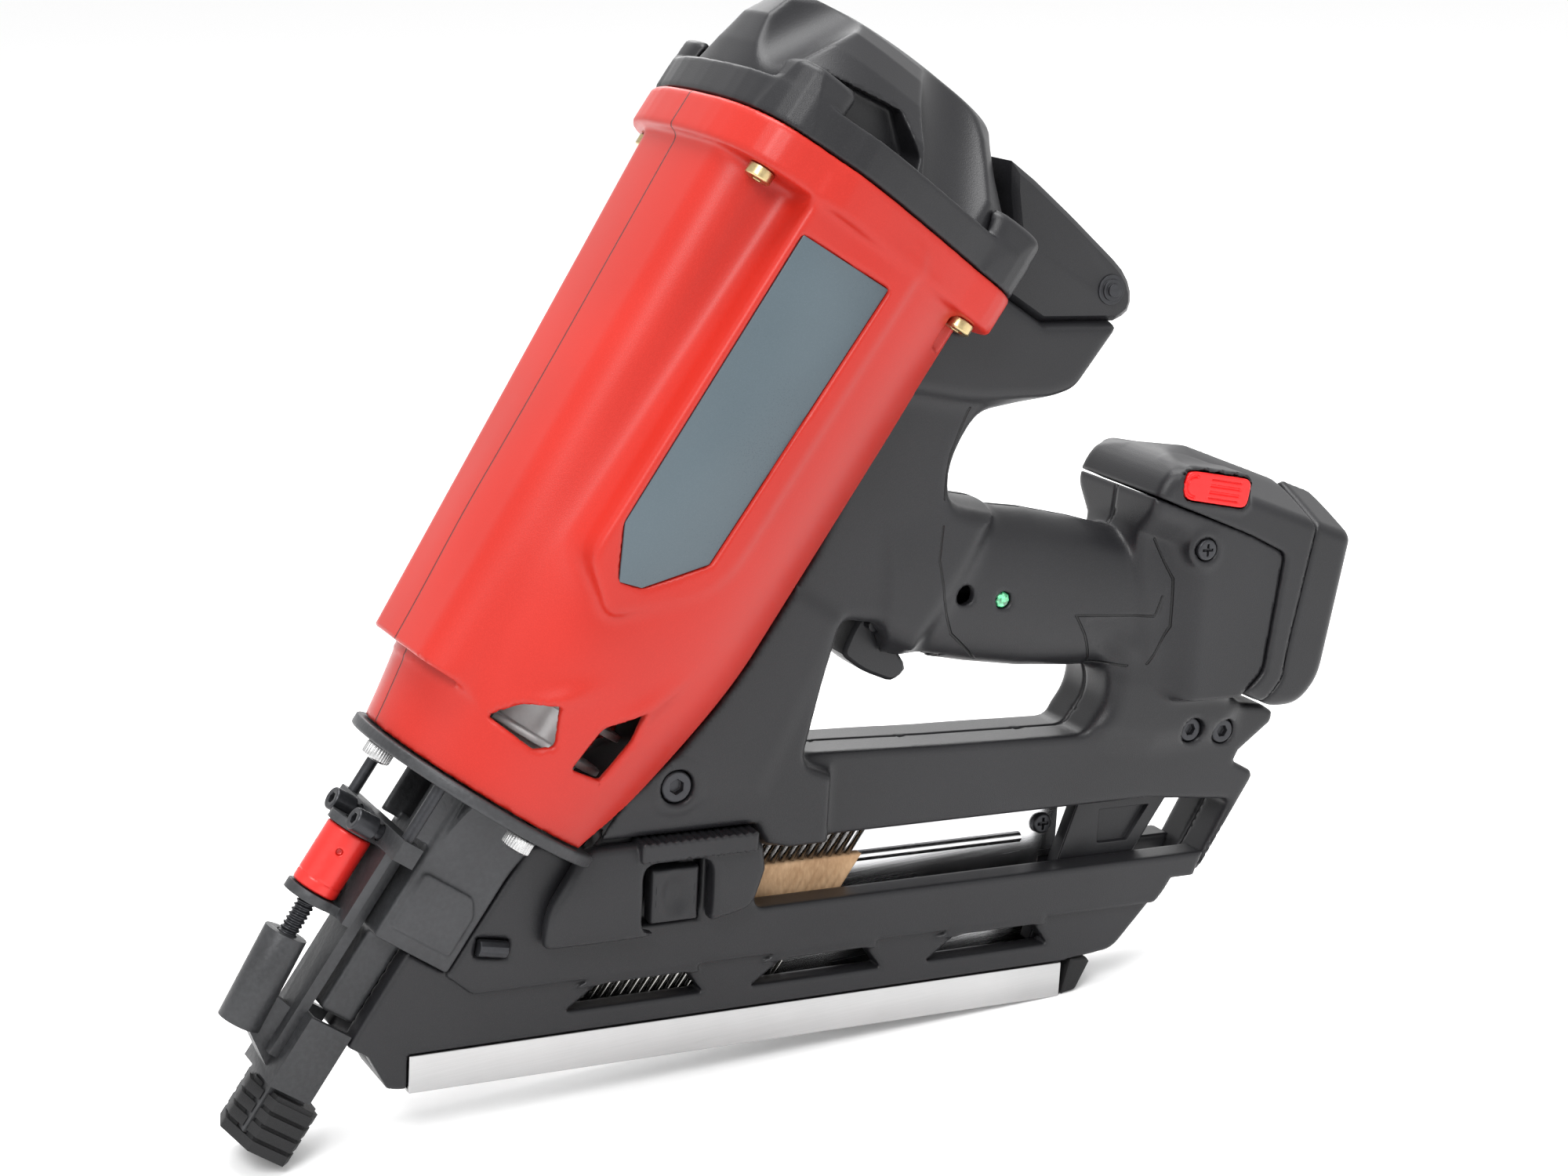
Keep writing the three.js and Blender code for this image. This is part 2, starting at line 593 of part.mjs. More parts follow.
function probeShaft() {
  const body = block([PROBE_FRONT, PROBE_REAR], [-PROBE_HALF, PROBE_HALF], [3.5, PROBE_TOP_W]);
  const pocket = block(
    [-NOSE_BAR_HALF - RUNNING, FAR],
    [-NOSE_BAR_HALF - RUNNING, NOSE_BAR_HALF + RUNNING],
    [TIP_TOP_W + 3, FAR],
  );
  const way = disc(5.2, 0, TIP_TOP_W + 6, 0, 0, 16);
  const strap = block([-14.8, -11.2], [-7.5, 7.5], [PROBE_TOP_W - 16,
    NOSE_TOP_W - PROBE_TRAVEL - DEPTH_TRAVEL - 7]);
  const boss = bar([BOSS_LOW[0], 0, BOSS_LOW[1]], [BOSS_HIGH[0], 0, BOSS_HIGH[1]], 6.8, 18);
  const bossBore = bar([BOSS_LOW[0], 0, BOSS_LOW[1] - 2], [BOSS_HIGH[0], 0, BOSS_HIGH[1] + 2], 3 + GAP,
    SMALL);
  const web = slab([[-28, 44], [-13, 41], [PROBE_FRONT + 1, 38], [PROBE_FRONT + 1, 22], [-24, 31]], 3.5);
  return cut(joined(cut(body, pocket), strap, boss, web), way, bossBore);
}

const TIP = { front: -12, rear: 10.8, half: 14, ribs: 4 };

// The soft tip: stacked ribs on a core, pushed over the end of the probe.
function probeTip() {
  const section = (inset) => [
    [TIP.front + inset, 0], [TIP.front + 5, TIP.half - inset], [TIP.rear - 5, TIP.half - inset],
    [TIP.rear - inset, 6], [TIP.rear - inset, -6], [TIP.rear - 5, -TIP.half + inset],
    [TIP.front + 5, -TIP.half + inset], [TIP.front + inset, -1],
  ];
  const layer = (inset, low, high) => loft([low, high].map((z) => section(inset).map(([x, y]) => [x, y, z])));
  const pitch = (TIP_TOP_W - 1) / TIP.ribs;
  const ribs = Array.from({ length: TIP.ribs }, (_, i) => layer(0, i * pitch, i * pitch + 3.2));
  const core = layer(1.5, 0.5, TIP_TOP_W - 1);
  const pocket = block([-9.5, PROBE_REAR + GAP], [-9.5, 9.5], [3.2, FAR]);
  return cut(joined(core, ...ribs), pocket, disc(5.2, -1, 6, 0, 0, 16));
}

// The foot of the probe inside the soft tip, cut down to fit its pocket.
function probeInTip(shaft) {
  const keep = block([-9.2, PROBE_REAR], [-9.2, 9.2], [0, TIP_TOP_W + 1]);
  const band = block([-FAR, FAR], [-FAR, FAR], [-1, TIP_TOP_W + 0.6]);
  return joined(shaft.subtract(band), shaft.intersect(keep));
}

function adjusterScrew() {
  return bar([BARREL_X + 0.6, 0, 50], [BARREL_X, 0, 92], 3);
}

function depthBarrel() {
  const body = disc(DEPTH_BARREL_R, DEPTH_LOW_W, DEPTH_HIGH_W, BARREL_X, 0, 10);
  return cut(body, disc(3 + RUNNING, DEPTH_LOW_W - 1, DEPTH_HIGH_W + 1, BARREL_X + 0.15, 0, SMALL));
}

// ---- Frame: two halves in the magazine frame ----
// Sections of the handle: place along it, lower and upper edge.
const HANDLE_SECTIONS = [
  [196, 140, 186], [212, 138, 188.5], [230, 134.5, 186.5], [250, 131.5, 184], [270, 130, 179.8], [286,
    129.6, 175.5],
  [302, 129.5, 172],
];

function handle(inset, from = 0, to = HANDLE_SECTIONS.length) {
  const sides = 20;
  const section = ([m, low, high]) =>
    Array.from({ length: sides }, (_, i) => {
      const a = (2 * Math.PI * i) / sides;
      const power = (v) => Math.sign(v) * Math.abs(v) ** 0.8;
      const y = (HANDLE_HALF - inset) * power(Math.cos(a));
      return [m, y, (low + high) / 2 + ((high - low) / 2 - inset) * power(Math.sin(a))];
    });
  return loft(HANDLE_SECTIONS.slice(from, to).map(section));
}

const NECK_TOP = 336.5;

function neck() {
  const corners = [
    [24, 128], [24, NECK_TOP], [54.5, NECK_TOP], [70.5, NECK_TOP + 0.4], [93.5, 351.5, 2], [92, 328, 3],
      [86, 321, 4],
    [78, 312, 4], [73.7, 306, 4], [74.6, 286, 4], [78, 277.5, 6], [96, 281], [96, 232], [80, 232], [66.6,
      226, 4],
    [69, 216, 4], [73.3, 182.6], [75, 168], [50, 150],
  ].map(([x, w, r]) => toMagazine(x, w, r));
  return slab(corners, NECK_HALF, 4);
}

function lowerFrame() {
  const corners = [
    toMagazine(19, 124), [77.5, TOP_LINE + GAP], [150, TOP_LINE + GAP], [154.5, SLOT_HIGH + 2], [162,
      SLOT_HIGH],
    [176, SLOT_HIGH], [176, 108], [160, 110.5, 3], [171.7, 146], toMagazine(66.6, 226), toMagazine(42, 226),
    toMagazine(24, 140),
  ];
  return slab(corners, LOWER_HALF, 3);
}

function beam() {
  const corners = [
    [150, SLOT_HIGH + 3], [158, SLOT_HIGH], [300, SLOT_HIGH], [336, 79.3, 3], [326.6, 61.6, 1.5], [322.5, 55],
    [324, 54.8], [326.3, 56.6, 1.5], [344.6, 87, 1.5], [343.6, 89], [336, 93], [337.7, 96.6], [350, 105.8],
    [350.7, 109.4], [346, 112.3], [336, 113.6], [327.3, 118.8], [327.3, 126], [284, 126], [283, 117, 5],
      [276, 108, 6], [220, 109.5],
    [168, 111.5], [150, 108],
  ];
  return slab(corners, BEAM_HALF, 2.5);
}

const column = () =>
  slab([[283.8, 140], [282.8, 118, 4], [278, 109], [300, 104], [330, 106], [332, 112], [327, 119], [327,
    140]], COLUMN_HALF, 4);

const HOLDER_SEAM = [[286.6, 190], [324.8, 176, 4], [340.5, 168.6, 3], [336, 127.8, 3], [327.5, 119.4]];

const holder = () => slab([...HOLDER_SEAM, [300, 119.4, 6], [291, 140, 10], [286, 172, 6]], HOLDER_HALF, 6);

const TONGUE = { low: 135, high: 163, half: 11, front: 304 };

function holderPocket(grow) {
  return block([TONGUE.front - grow, 345], [-TONGUE.half - grow, TONGUE.half + grow], [TONGUE.low - grow,
    TONGUE.high + grow]);
}

// What the frame leaves clear: housing, gas cell, cap, nose, trigger, battery tongue and nail track.
function frameClearances() {
  const drive = (solid) => toMagazineSolid(solid);
  const housing = cut(
    joined(barrel(GAP + 0.15, 6), labelPads(GAP), disc(BARREL_R + 1, FLANGE_LOW_W - 2, FLANGE_LOW_W + 4)),
    behindHousing(GAP + 0.15),
  );
  const topClear = joined(flangePlate(-GAP - 0.3, FLANGE_LOW_W - GAP, BASE_TOP_W + 8), dome(GAP));
  const inside = disc(HEAD_FLANGE_R + 0.5, RIM_W - 1, FLANGE_LOW_W);
  const cell = disc(CELL_R + GAP, CELL_LOW_W - 1, FAR, CELL_X, 0, 24);
  const nose = joined(cut(noseEnvelope(), behindHousing(GAP)), disc(NOSE_DISC_R + GAP, NOSE_TOP_W - 7,
    RIM_W + 1));
  const trigger = joined(block([79, 112], [-8.3, 8.3], [214, 247]), trunnions(TRUNNION_R + GAP, 12));
  const [x, w] = FRAME_SCREW;
  const screw = joined(bar([x, -FAR, w], [x, -LOWER_HALF + 3.2, w], 5.6), bar([x, -FAR, w], [x, -8, w], 2.7));
  const track = block([60, 322], [-CHANNEL_HALF, CHANNEL_HALF], [SLOT_LOW - 4, TRACK_TOP]);
  return joined(...[housing, topClear, inside, cell, nose, trigger, screw].map(drive), track,
    holderPocket(RUNNING));
}

// A solid of the drive frame, remade in the magazine frame.
function toMagazineSolid(solid) {
  const geometry = toGeometry(solid);
  geometry.translate(-NOSE_X, 0, 0);
  geometry.rotateY(rad(MAGAZINE_RISE));
  return toSolid(geometry);
}

function frameHalf(side) {
  const body = joined(neck(), lowerFrame(), beam(), column(), holder(), handle(0));
  const hollow = handle(SHELL_WALL, 1, HANDLE_SECTIONS.length - 1);
  const whole = cut(body, hollow, frameClearances(), ...frameScrewHoles());
  const half = block([-FAR, FAR], side > 0 ? [0.15, FAR] : [-FAR, -0.15], [-FAR, FAR]);
  return whole.intersect(half);
}

const FRAME_SCREW = [47.7, 156.6];
const SIDE_SCREWS = { plate_screw_1: [316, 106.4], plate_screw_2: [329.3, 104.7] };
const HOLDER_SCREW = [308.6, 171.5];
const LENS = [236, 157.7];

function frameScrewHoles() {
  const recess = ([m, n], half, depth, radius) => bar([m, -half - 1, n], [m, -half + depth, n], radius);
  return [
    ...Object.values(SIDE_SCREWS).map((at) => recess(at, BEAM_HALF, 4.5, 4.6)),
    recess(HOLDER_SCREW, HOLDER_HALF, 6, 4),
    recess([221.5, 160.2], HANDLE_HALF, 5, 3.6),
    recess(LENS, HANDLE_HALF, 6, 3),
  ];
}

// A socket screw seen from the side, its head at y and its shank running inwards.
function sideScrew([x, z], y, headR, length) {
  const head = bar([x, y, z], [x, y + 3, z], headR);
  const socket = bar([x, y - 1, z], [x, y + 1.8, z], headR * 0.45, 6);
  return cut(joined(head, bar([x, y + 2.5, z], [x, y + length, z], headR * 0.45)), socket);
}

const statusLens = () => bar([LENS[0], -HANDLE_HALF + 0.3, LENS[1]], [LENS[0], -HANDLE_HALF + 5.5,
  LENS[1]], 2.7);
const triggerSwitch = () => block([222, 246], [-6, 6], [158, 172]);
const ignitionBoard = () => block([250, 284], [-1, 1], [142, 168]);

// ---- Trigger ----
const PIVOT = [84, 231.5];
const TRUNNION_R = 2;
const trunnions = (radius, half) => bar([PIVOT[0], -half, PIVOT[1]], [PIVOT[0], half, PIVOT[1]], radius);

function trigger() {
  const corners = [
    [80.6, 236], [80.2, 227, 3], [82, 218.2, 2], [92, 217.6, 3], [103.4, 219.8, 2], [106.4, 226, 3], [97,
      230, 3],
    [92, 236, 2],
  ];
  return joined(slab(corners, 7.4, 1.2), trunnions(TRUNNION_R, 11));
}

// ---- Gas compartment ----
const COVER_PIVOT = [85.7, 360];
const COVER_HALF = 22;

function gasCover() {
  const corners = [
    [31.5, 372.4], [42, 372.2], [59.6, 370.8, 4], [86.8, 367.8, 5], [93.8, 364, 4], [97, 358.3, 3],
    [93.6, 353], [70.4, 338.3], [54.5, 337.8], [50.5, 345], [47.5, 354], [37, 365],
  ];
  const inner = [[46, 368], [60, 367.6], [78, 364.5], [78, 346.5], [69.5, 340.5], [69, 335], [57, 335],
    [53, 346],
    [49.5, 356]];
  const pin = bar([COVER_PIVOT[0], -30, COVER_PIVOT[1]], [COVER_PIVOT[0], 30, COVER_PIVOT[1]], 2.2);
  const lugWay = block([76, 99], [-9, 9], [335, 369]);
  return cut(slab(corners, COVER_HALF, 2), slab(inner, COVER_HALF - 3), pin, lugWay);
}

// The lug on the frame that the cover swings on, with its pin.
function coverLug() {
  const corners = [[78, 339], [82, 362, 3], [90, 362, 3], [92.5, 348]];
  const lug = slab(corners, 8.4);
  return toMagazineSolid(cut(lug, bar([COVER_PIVOT[0], -9, COVER_PIVOT[1]], [COVER_PIVOT[0], 9,
    COVER_PIVOT[1]], 2.05)));
}

const coverPin = () =>
  bar([COVER_PIVOT[0], -COVER_HALF - 0.8, COVER_PIVOT[1]], [COVER_PIVOT[0], COVER_HALF + 0.8,
    COVER_PIVOT[1]], 1.9);

function gasCell() {
  const top = CELL_LOW_W + CELL_LENGTH;
  return turned([
    [0, CELL_LOW_W], [CELL_R - 2, CELL_LOW_W], [CELL_R, CELL_LOW_W + 2], [CELL_R, top - 4], [CELL_R - 4, top],
    [3, top], [3, top + 4], [0, top + 4],
  ], CELL_X, 0, 24);
}

function meteringValve() {
  const low = CELL_LOW_W + CELL_LENGTH + 0.9;
  const seat = block([CELL_X - 5, CELL_X + 12], [-7.4, 7.4], [low, NECK_TOP - 0.2]);
  const chamber = block([CELL_X + 2.5, CELL_X + 6.5], [-6, 6], [low + 1, low + 14]);
  return cut(joined(seat, chamber), disc(3 + GAP, low - 1, low + 4, CELL_X, 0, SMALL));
}

const rubberPad = () => slab([[94, 350.4], [97.5, 351], [93, 326], [86.8, 321.2], [92.6, 328.5]], 17);

// ---- Magazine ----
const MAGAZINE_OUTLINE = [
  [17, 26.9], [23.6, 24.9], [34, 18.4], [38, 17.6], [RAIL_FRONT, 17.6], [RAIL_REAR, 17.6], [274,
    RAIL_HIGH + 0.5],
  [292.2, 30.3, 2], [309.6, 49.4, 3], [312.6, 54.2], [321.5, 54.2], [325, SLOT_LOW, 1], [154, SLOT_LOW, 2],
  [149, TOP_LINE], [76.5, TOP_LINE], toMagazine(CAST_REAR + GAP, GUIDE_LOW_W - GAP),
  toMagazine(4.1, GUIDE_LOW_W - GAP),
];

function magazineBody() {
  const upper = slab(MAGAZINE_OUTLINE, MAGAZINE_HALF, 1.5);
  const skirtCut = [1, -1].map((side) => {
    const [low, high] = side > 0 ? [SKIRT_HALF, FAR] : [-FAR, -SKIRT_HALF];
    return plate([[-FAR, -FAR], [FAR, -FAR], [FAR, 46], [60, 46], [40, 62], [-FAR, 62]], low, high);
  });
  const railSeat = [1, -1].map((side) => {
    const inner = SKIRT_HALF - 1.2 - RAIL_WALL;
    const [low, high] = side > 0 ? [inner, FAR] : [-FAR, -inner];
    return plate([[RAIL_FRONT - GAP, -FAR], [FAR, -FAR], [FAR, 20], [RAIL_REAR + 3, RAIL_HIGH + GAP],
      [RAIL_FRONT - GAP, RAIL_HIGH + GAP]], low, high);
  });
  const channel = joined(
    block([-20, RAIL_REAR - 1], [-CHANNEL_HALF, CHANNEL_HALF], [CHANNEL_FLOOR, FAR]),
    block([RAIL_REAR - 2, 330], [-CHANNEL_HALF, CHANNEL_HALF], [REAR_FLOOR, FAR]),
  );
  const clear = toMagazineSolid(noseEnvelope());
  const pin = bar([RELEASE_PIN.from[0], -MAGAZINE_HALF, RELEASE_PIN.from[1]],
    [RELEASE_PIN.to[0], -MAGAZINE_HALF, RELEASE_PIN.to[1]], RELEASE_PIN.r + 0.8);
  const pocket = block([113, 134], [-FAR, -LATCH_DEPTH + 1.5], [62, 83]);
  return cut(upper, ...skirtCut, ...railSeat, channel, clear, pin, pocket, ...sideVents());
}

const VENT_PITCH = 64;
const VENT = { low: 35.5, high: 44, first: 90.7 };

function sideVents() {
  return [0, 1, 2].map((i) => {
    const m = VENT.first + i * VENT_PITCH;
    return slab([[m, VENT.low], [m + 47.5, VENT.low], [m + 41, VENT.high], [m + 12, VENT.high]], FAR);
  });
}

const LATCH_DEPTH = 12;
const RELEASE_PIN = { from: toMagazine(21, 84), to: toMagazine(31, 88.5), r: 2.8 };

function releasePin() {
  const [a, b] = [RELEASE_PIN.from, RELEASE_PIN.to];
  const inset = 0.8;
  const end = (p, q) => [p[0] + Math.sign(q[0] - p[0]) * inset, -MAGAZINE_HALF, p[1]];
  return bar(end(a, b), end(b, a), RELEASE_PIN.r - 0.1, SMALL);
}

function skidRail() {
  const half = SKIRT_HALF;
  const outer = block([RAIL_FRONT, RAIL_REAR], [-half, half], [RAIL_LOW, RAIL_HIGH]);
  return cut(outer, block([0, FAR], [-half + RAIL_WALL, half - RAIL_WALL], [RAIL_LOW + 1, FAR]));
}

function magazineFoot() {
  const corners = [[RAIL_REAR + GAP, RAIL_LOW + 0.3, 1], [278.9, RAIL_LOW + 1, 1], [283.8, 26.8], [282.5,
    28.4],
    [276.2, 28.4], [RAIL_REAR + 1.6, 17.4]];
  return slab(corners, SKIRT_HALF - 0.5, 0.6);
}

function magazineLiner() {
  const outer = CHANNEL_HALF - GAP;
  const wall = block([62, RAIL_REAR - 1.5], [outer - 1, outer], [CHANNEL_FLOOR + GAP, TRACK_TOP - 3]);
  const tab = block([RAIL_REAR - 10, 277], [outer - 1, outer], [SLOT_LOW - 2, TRACK_TOP - 3]);
  const floor = block([62, RAIL_REAR - 1.5], [-outer, outer], [CHANNEL_FLOOR + GAP, CHANNEL_FLOOR + 1.4]);
  return cut(joined(wall, tab, floor), toMagazineSolid(noseEnvelope()));
}

const linerScrew = () => bar([274.4 - 4, 2, 72.6], [274.4 - 4, CHANNEL_HALF - GAP - 1.2, 72.6], 3.6);

function latchCover() {
  const corners = [[79.9, 59.4, 2], [80.5, 71.8, 5], [92.4, 90.8, 3], [149, 90, 2], [153, 85.3], [153.8,
    77.8],
    [149.3, 65.5, 3], [120, 60.5, 4]];
  const well = slab([[111, 61.5, 3], [111, 84, 3], [135, 84, 3], [135, 61.5, 3]], FAR);
  return cut(plate(corners, -24, -MAGAZINE_HALF - GAP, 2.5), well, toMagazineSolid(noseEnvelope()));
}

const latchButton = () => plate([[115, 63.8, 1.5], [115, 81.2, 1.5], [131, 81.2, 1.5], [131, 63.8, 1.5]],
  -20.5, -14.6, 1);

// ---- Nails and pusher ----
const STRIP_REAR = 212;
const NAIL_LOW = 29;
const NAIL_TOP = TRACK_TOP - 4.5;

function nailStrip() {
  const lean = Math.tan(rad(MAGAZINE_RISE));
  const nail = (i) => {
    const m = STRIP_REAR - 6 - i * NAIL_PITCH;
    const at = (n) => [m + (n - NAIL_TOP) * lean, -0.5, n];
    return bar(at(NAIL_LOW), at(NAIL_TOP), NAIL_R, 6);
  };
  const length = NAIL_COUNT * NAIL_PITCH;
  const edge = (n, extra) => STRIP_REAR - 3 + (n - NAIL_TOP) * lean - extra;
  const tape = plate([[edge(44, length + 1), 44], [edge(44, 0), 44], [edge(79, 0), 79], [edge(79,
    length + 1), 79]], -1.6, 0.6);
  return joined(tape, ...Array.from({ length: NAIL_COUNT }, (_, i) => nail(i)));
}

function pusher() {
  const lean = Math.tan(rad(MAGAZINE_RISE));
  const at = (m, n) => [m + (n - SLOT_LOW) * lean, n];
  const low = REAR_FLOOR + 1;
  const corners = [at(282, low), at(304, low), at(304, 90), [282, 90]];
  return cut(plate(corners, -4.6, 1.5, 0.6), plate([at(286, 66), at(298, 66), at(298, 78), [288, 78]], -6,
    -2.5));
}

// ---- Battery ----
const CAP_SEAM = [[313.5, 202.2], [354, 188.2, 6], [344.5, 134.5, 6], [343.7, 124.7, 3], [336.8, 116.8]];

function batteryPack() {
  const seam = HOLDER_SEAM.map(([m, n, r]) => [m + 0.9, n + 0.1, r]);
  const corners = [[287.6, 190.4], [290, 196, 3], [297.6, 202, 4], ...CAP_SEAM, ...seam.slice(1).reverse()];
  const shell = slab(corners, BATTERY_HALF, 3);
  const pockets = [1, -1].map((side) => {
    const [low, high] = side > 0 ? [BATTERY_HALF - 4, FAR] : [-FAR, -BATTERY_HALF + 4];
    return plate(buttonCorners(-RUNNING), low, high);
  });
  const tongue = block([TONGUE.front, 343], [-TONGUE.half, TONGUE.half], [TONGUE.low, TONGUE.high]);
  return cut(joined(shell, tongue), ...pockets);
}

function buttonCorners(inset) {
  return [
    [296 + inset, 189.5 + inset, 1], [297 + inset, 199 - inset, 1], [323 - inset, 194.6 - inset, 1],
    [321.6 - inset, 185 + inset, 1],
  ];
}

function batteryButton(side) {
  const [low, high] = [BATTERY_HALF - 3.2 + 2.4, BATTERY_HALF + 0.8];
  return side > 0 ? plate(buttonCorners(0), low, high, 0.6) : plate(buttonCorners(0), -high, -low, 0.6);
}

function batteryEndCap() {
  const seam = CAP_SEAM.map(([m, n, r]) => [m + 0.5, n + 0.2, r]);
  const corners = [...seam.reverse(), [318, 202.4], [336, 198.7, 4], [366.8, 186.5, 4], [369.7, 180, 4],
    [360.7, 123.2, 4], [352.8, 114.5, 5], [342, 114.4, 3]];
  return slab(corners, BATTERY_HALF - 0.4, 1.2);
}

// ---- Assembly ----
const FINISHES = {
  red: { color: 0xd8392b, roughness: 0.45, metalness: 0 },
  black: { color: 0x2f2f31, roughness: 0.6, metalness: 0 },
  label: { color: 0x5b666d, roughness: 0.5, metalness: 0 },
  steel: { color: 0xb9babb, roughness: 0.35, metalness: 1 },
  oxide: { color: 0x35363a, roughness: 0.5, metalness: 0.7 },
  zinc: { color: 0xc2ae7c, roughness: 0.35, metalness: 0.9 },
  cast: { color: 0x9b9c9e, roughness: 0.5, metalness: 0.9 },
  rubber: { color: 0x232325, roughness: 0.85, metalness: 0 },
  paper: { color: 0xc89c6a, roughness: 0.9, metalness: 0 },
  foam: { color: 0x3c3f3f, roughness: 1, metalness: 0 },
  green: { color: 0x2f9b55, roughness: 0.25, metalness: 0 },
};

function add(group, name, solid, finish) {
  const mesh = new THREE.Mesh(toGeometry(solid), new THREE.MeshStandardMaterial(FINISHES[finish]));
  mesh.name = name;
  group.add(mesh);
}

function driveLine() {
  const group = new THREE.Group();
  add(group, "motor_housing", motorHousing(), "red");
  add(group, "label_right", housingLabel(-1), "label");
  add(group, "label_left", housingLabel(1), "label");
  add(group, "cap_base", capBase(), "black");
  add(group, "top_cap", topCap(), "black");
  add(group, "air_filter", airFilter(), "foam");
  add(group, "cylinder_head", cylinderHead(), "cast");
  add(group, "fan_motor", fanMotor(), "steel");
  add(group, "fan", fan(), "black");
  add(group, "spark_plug", sparkPlug(), "steel");
  add(group, "cylinder", cylinder(), "cast");
  add(group, "bumper", bumper(), "rubber");
  add(group, "piston", piston(), "steel");
  add(group, "driver_blade", driverBlade(), "steel");
  add(group, "chamber_sleeve", chamberSleeve(), "cast");
  add(group, "nose_casting", noseCasting(), "oxide");
  add(group, "link_bracket", linkBracket(), "oxide");
  add(group, "lift_rod_right", liftRod(-1), "steel");
  add(group, "lift_rod_left", liftRod(1), "steel");
  add(group, "probe_shaft", probeInTip(probeShaft()), "oxide");
  add(group, "probe_tip", probeTip(), "rubber");
  add(group, "adjuster_screw", adjusterScrew(), "oxide");
  add(group, "depth_barrel", depthBarrel(), "red");
  add(group, "trigger", trigger(), "black");
  add(group, "gas_cover", gasCover(), "black");
  add(group, "gas_cover_pin", coverPin(), "oxide");
  add(group, "gas_cell", gasCell(), "steel");
  add(group, "metering_valve", meteringValve(), "black");
  add(group, "rubber_pad", rubberPad(), "rubber");
  add(group, "frame_screw", sideScrew(FRAME_SCREW, -LOWER_HALF - 0.5, 5, 12), "oxide");
  CAP_SCREWS.forEach((at, i) => add(group, `cap_screw_${i + 1}`, capScrew(at), "zinc"));
  NOSE_SCREWS.forEach((at, i) => add(group, `nose_screw_${i + 1}`, noseScrew(at), "steel"));
  BRACKET_SCREWS.forEach((y, i) => add(group, `bracket_screw_${i + 1}`, bracketScrew(y), "oxide"));
  return group;
}

function rearAndMagazine() {
  const group = new THREE.Group();
  group.position.set(NOSE_X, 0, 0);
  group.rotation.y = -rad(MAGAZINE_RISE);
  add(group, "frame_right", joined(frameHalf(-1), lugHalf(-1)), "black");
  add(group, "frame_left", joined(frameHalf(1), lugHalf(1)), "black");
  for (const [name, at] of Object.entries(SIDE_SCREWS)) {
    add(group, name, sideScrew(at, -BEAM_HALF - 0.2, 4.2, 4.4), "oxide");
  }
  add(group, "holder_screw", sideScrew(HOLDER_SCREW, -HOLDER_HALF + 0.8, 3.6, 5), "oxide");
  add(group, "status_lens", statusLens(), "green");
  add(group, "trigger_switch", triggerSwitch(), "black");
  add(group, "ignition_board", ignitionBoard(), "green");
  add(group, "battery_pack", batteryPack(), "black");
  add(group, "battery_end_cap", batteryEndCap(), "black");
  add(group, "battery_button_right", batteryButton(-1), "red");
  add(group, "battery_button_left", batteryButton(1), "red");
  add(group, "magazine_body", magazineBody(), "black");
  add(group, "skid_rail", skidRail(), "steel");
  add(group, "magazine_foot", magazineFoot(), "rubber");
  add(group, "magazine_liner", magazineLiner(), "steel");
  add(group, "liner_screw", linerScrew(), "oxide");
  add(group, "latch_cover", latchCover(), "black");
  add(group, "latch_button", latchButton(), "black");
  add(group, "release_pin", releasePin(), "oxide");
  add(group, "nail_strip", nailStrip(), "paper");
  add(group, "pusher", pusher(), "black");
  return group;
}

const lugHalf = (side) =>
  coverLug().intersect(block([-FAR, FAR], side > 0 ? [0.15, FAR] : [-FAR, -0.15], [-FAR, FAR]));

// The tool stands on its tip and on the rail's rear end, with the origin under the middle of its box.
const [heelX, heelW] = toDrive(RAIL_REAR, RAIL_LOW);
const lean = Math.atan2(heelW, heelX - TIP.rear);
const tool = new THREE.Group();
tool.add(driveLine(), rearAndMagazine());
tool.rotation.y = lean;
tool.updateMatrixWorld(true);
const extent = new THREE.Box3().setFromObject(tool, true);
tool.position.set(-(extent.min.x + extent.max.x) / 2, -(extent.min.y + extent.max.y) / 2, -extent.min.z);

const nailer = new THREE.Group();
nailer.add(tool);
export default nailer;
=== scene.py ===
import bmesh
import bpy
import numpy as np
from mathutils import Matrix, Vector
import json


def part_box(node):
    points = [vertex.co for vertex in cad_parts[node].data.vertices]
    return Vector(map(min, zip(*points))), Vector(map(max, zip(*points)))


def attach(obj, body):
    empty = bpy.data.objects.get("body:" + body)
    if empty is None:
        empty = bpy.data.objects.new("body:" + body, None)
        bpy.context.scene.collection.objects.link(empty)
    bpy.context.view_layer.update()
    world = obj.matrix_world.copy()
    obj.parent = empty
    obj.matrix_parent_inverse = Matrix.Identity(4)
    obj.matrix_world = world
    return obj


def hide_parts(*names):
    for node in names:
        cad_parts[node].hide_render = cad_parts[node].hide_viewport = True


# ---- The frame ----
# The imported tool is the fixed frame. The drive frame has its origin at the nose tip, with x back to the
# handle and z up the drive axis. The magazine frame shares it, turned by the magazine's rise. Millimetres.
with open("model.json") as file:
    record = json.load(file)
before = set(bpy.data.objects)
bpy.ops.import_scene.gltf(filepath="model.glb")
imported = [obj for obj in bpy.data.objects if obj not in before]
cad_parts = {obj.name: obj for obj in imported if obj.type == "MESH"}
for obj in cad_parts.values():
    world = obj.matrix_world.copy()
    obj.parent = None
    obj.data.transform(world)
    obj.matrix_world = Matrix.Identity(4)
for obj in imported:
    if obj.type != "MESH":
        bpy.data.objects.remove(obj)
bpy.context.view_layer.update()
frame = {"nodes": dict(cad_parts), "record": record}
MM = 0.001
JOINTS = {joint["name"]: joint for joint in frame["record"]["behaviour"]["joints"]}
AXIS = Vector(JOINTS["contact_slide"]["axis"])
TURN = np.array([[AXIS.z, 0, AXIS.x], [0, 1, 0], [-AXIS.x, 0, AXIS.z]])
PIN_IN_DRIVE = np.array([85.7, 0, 360])
pin_corners = np.array(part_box("gas_cover_pin"))
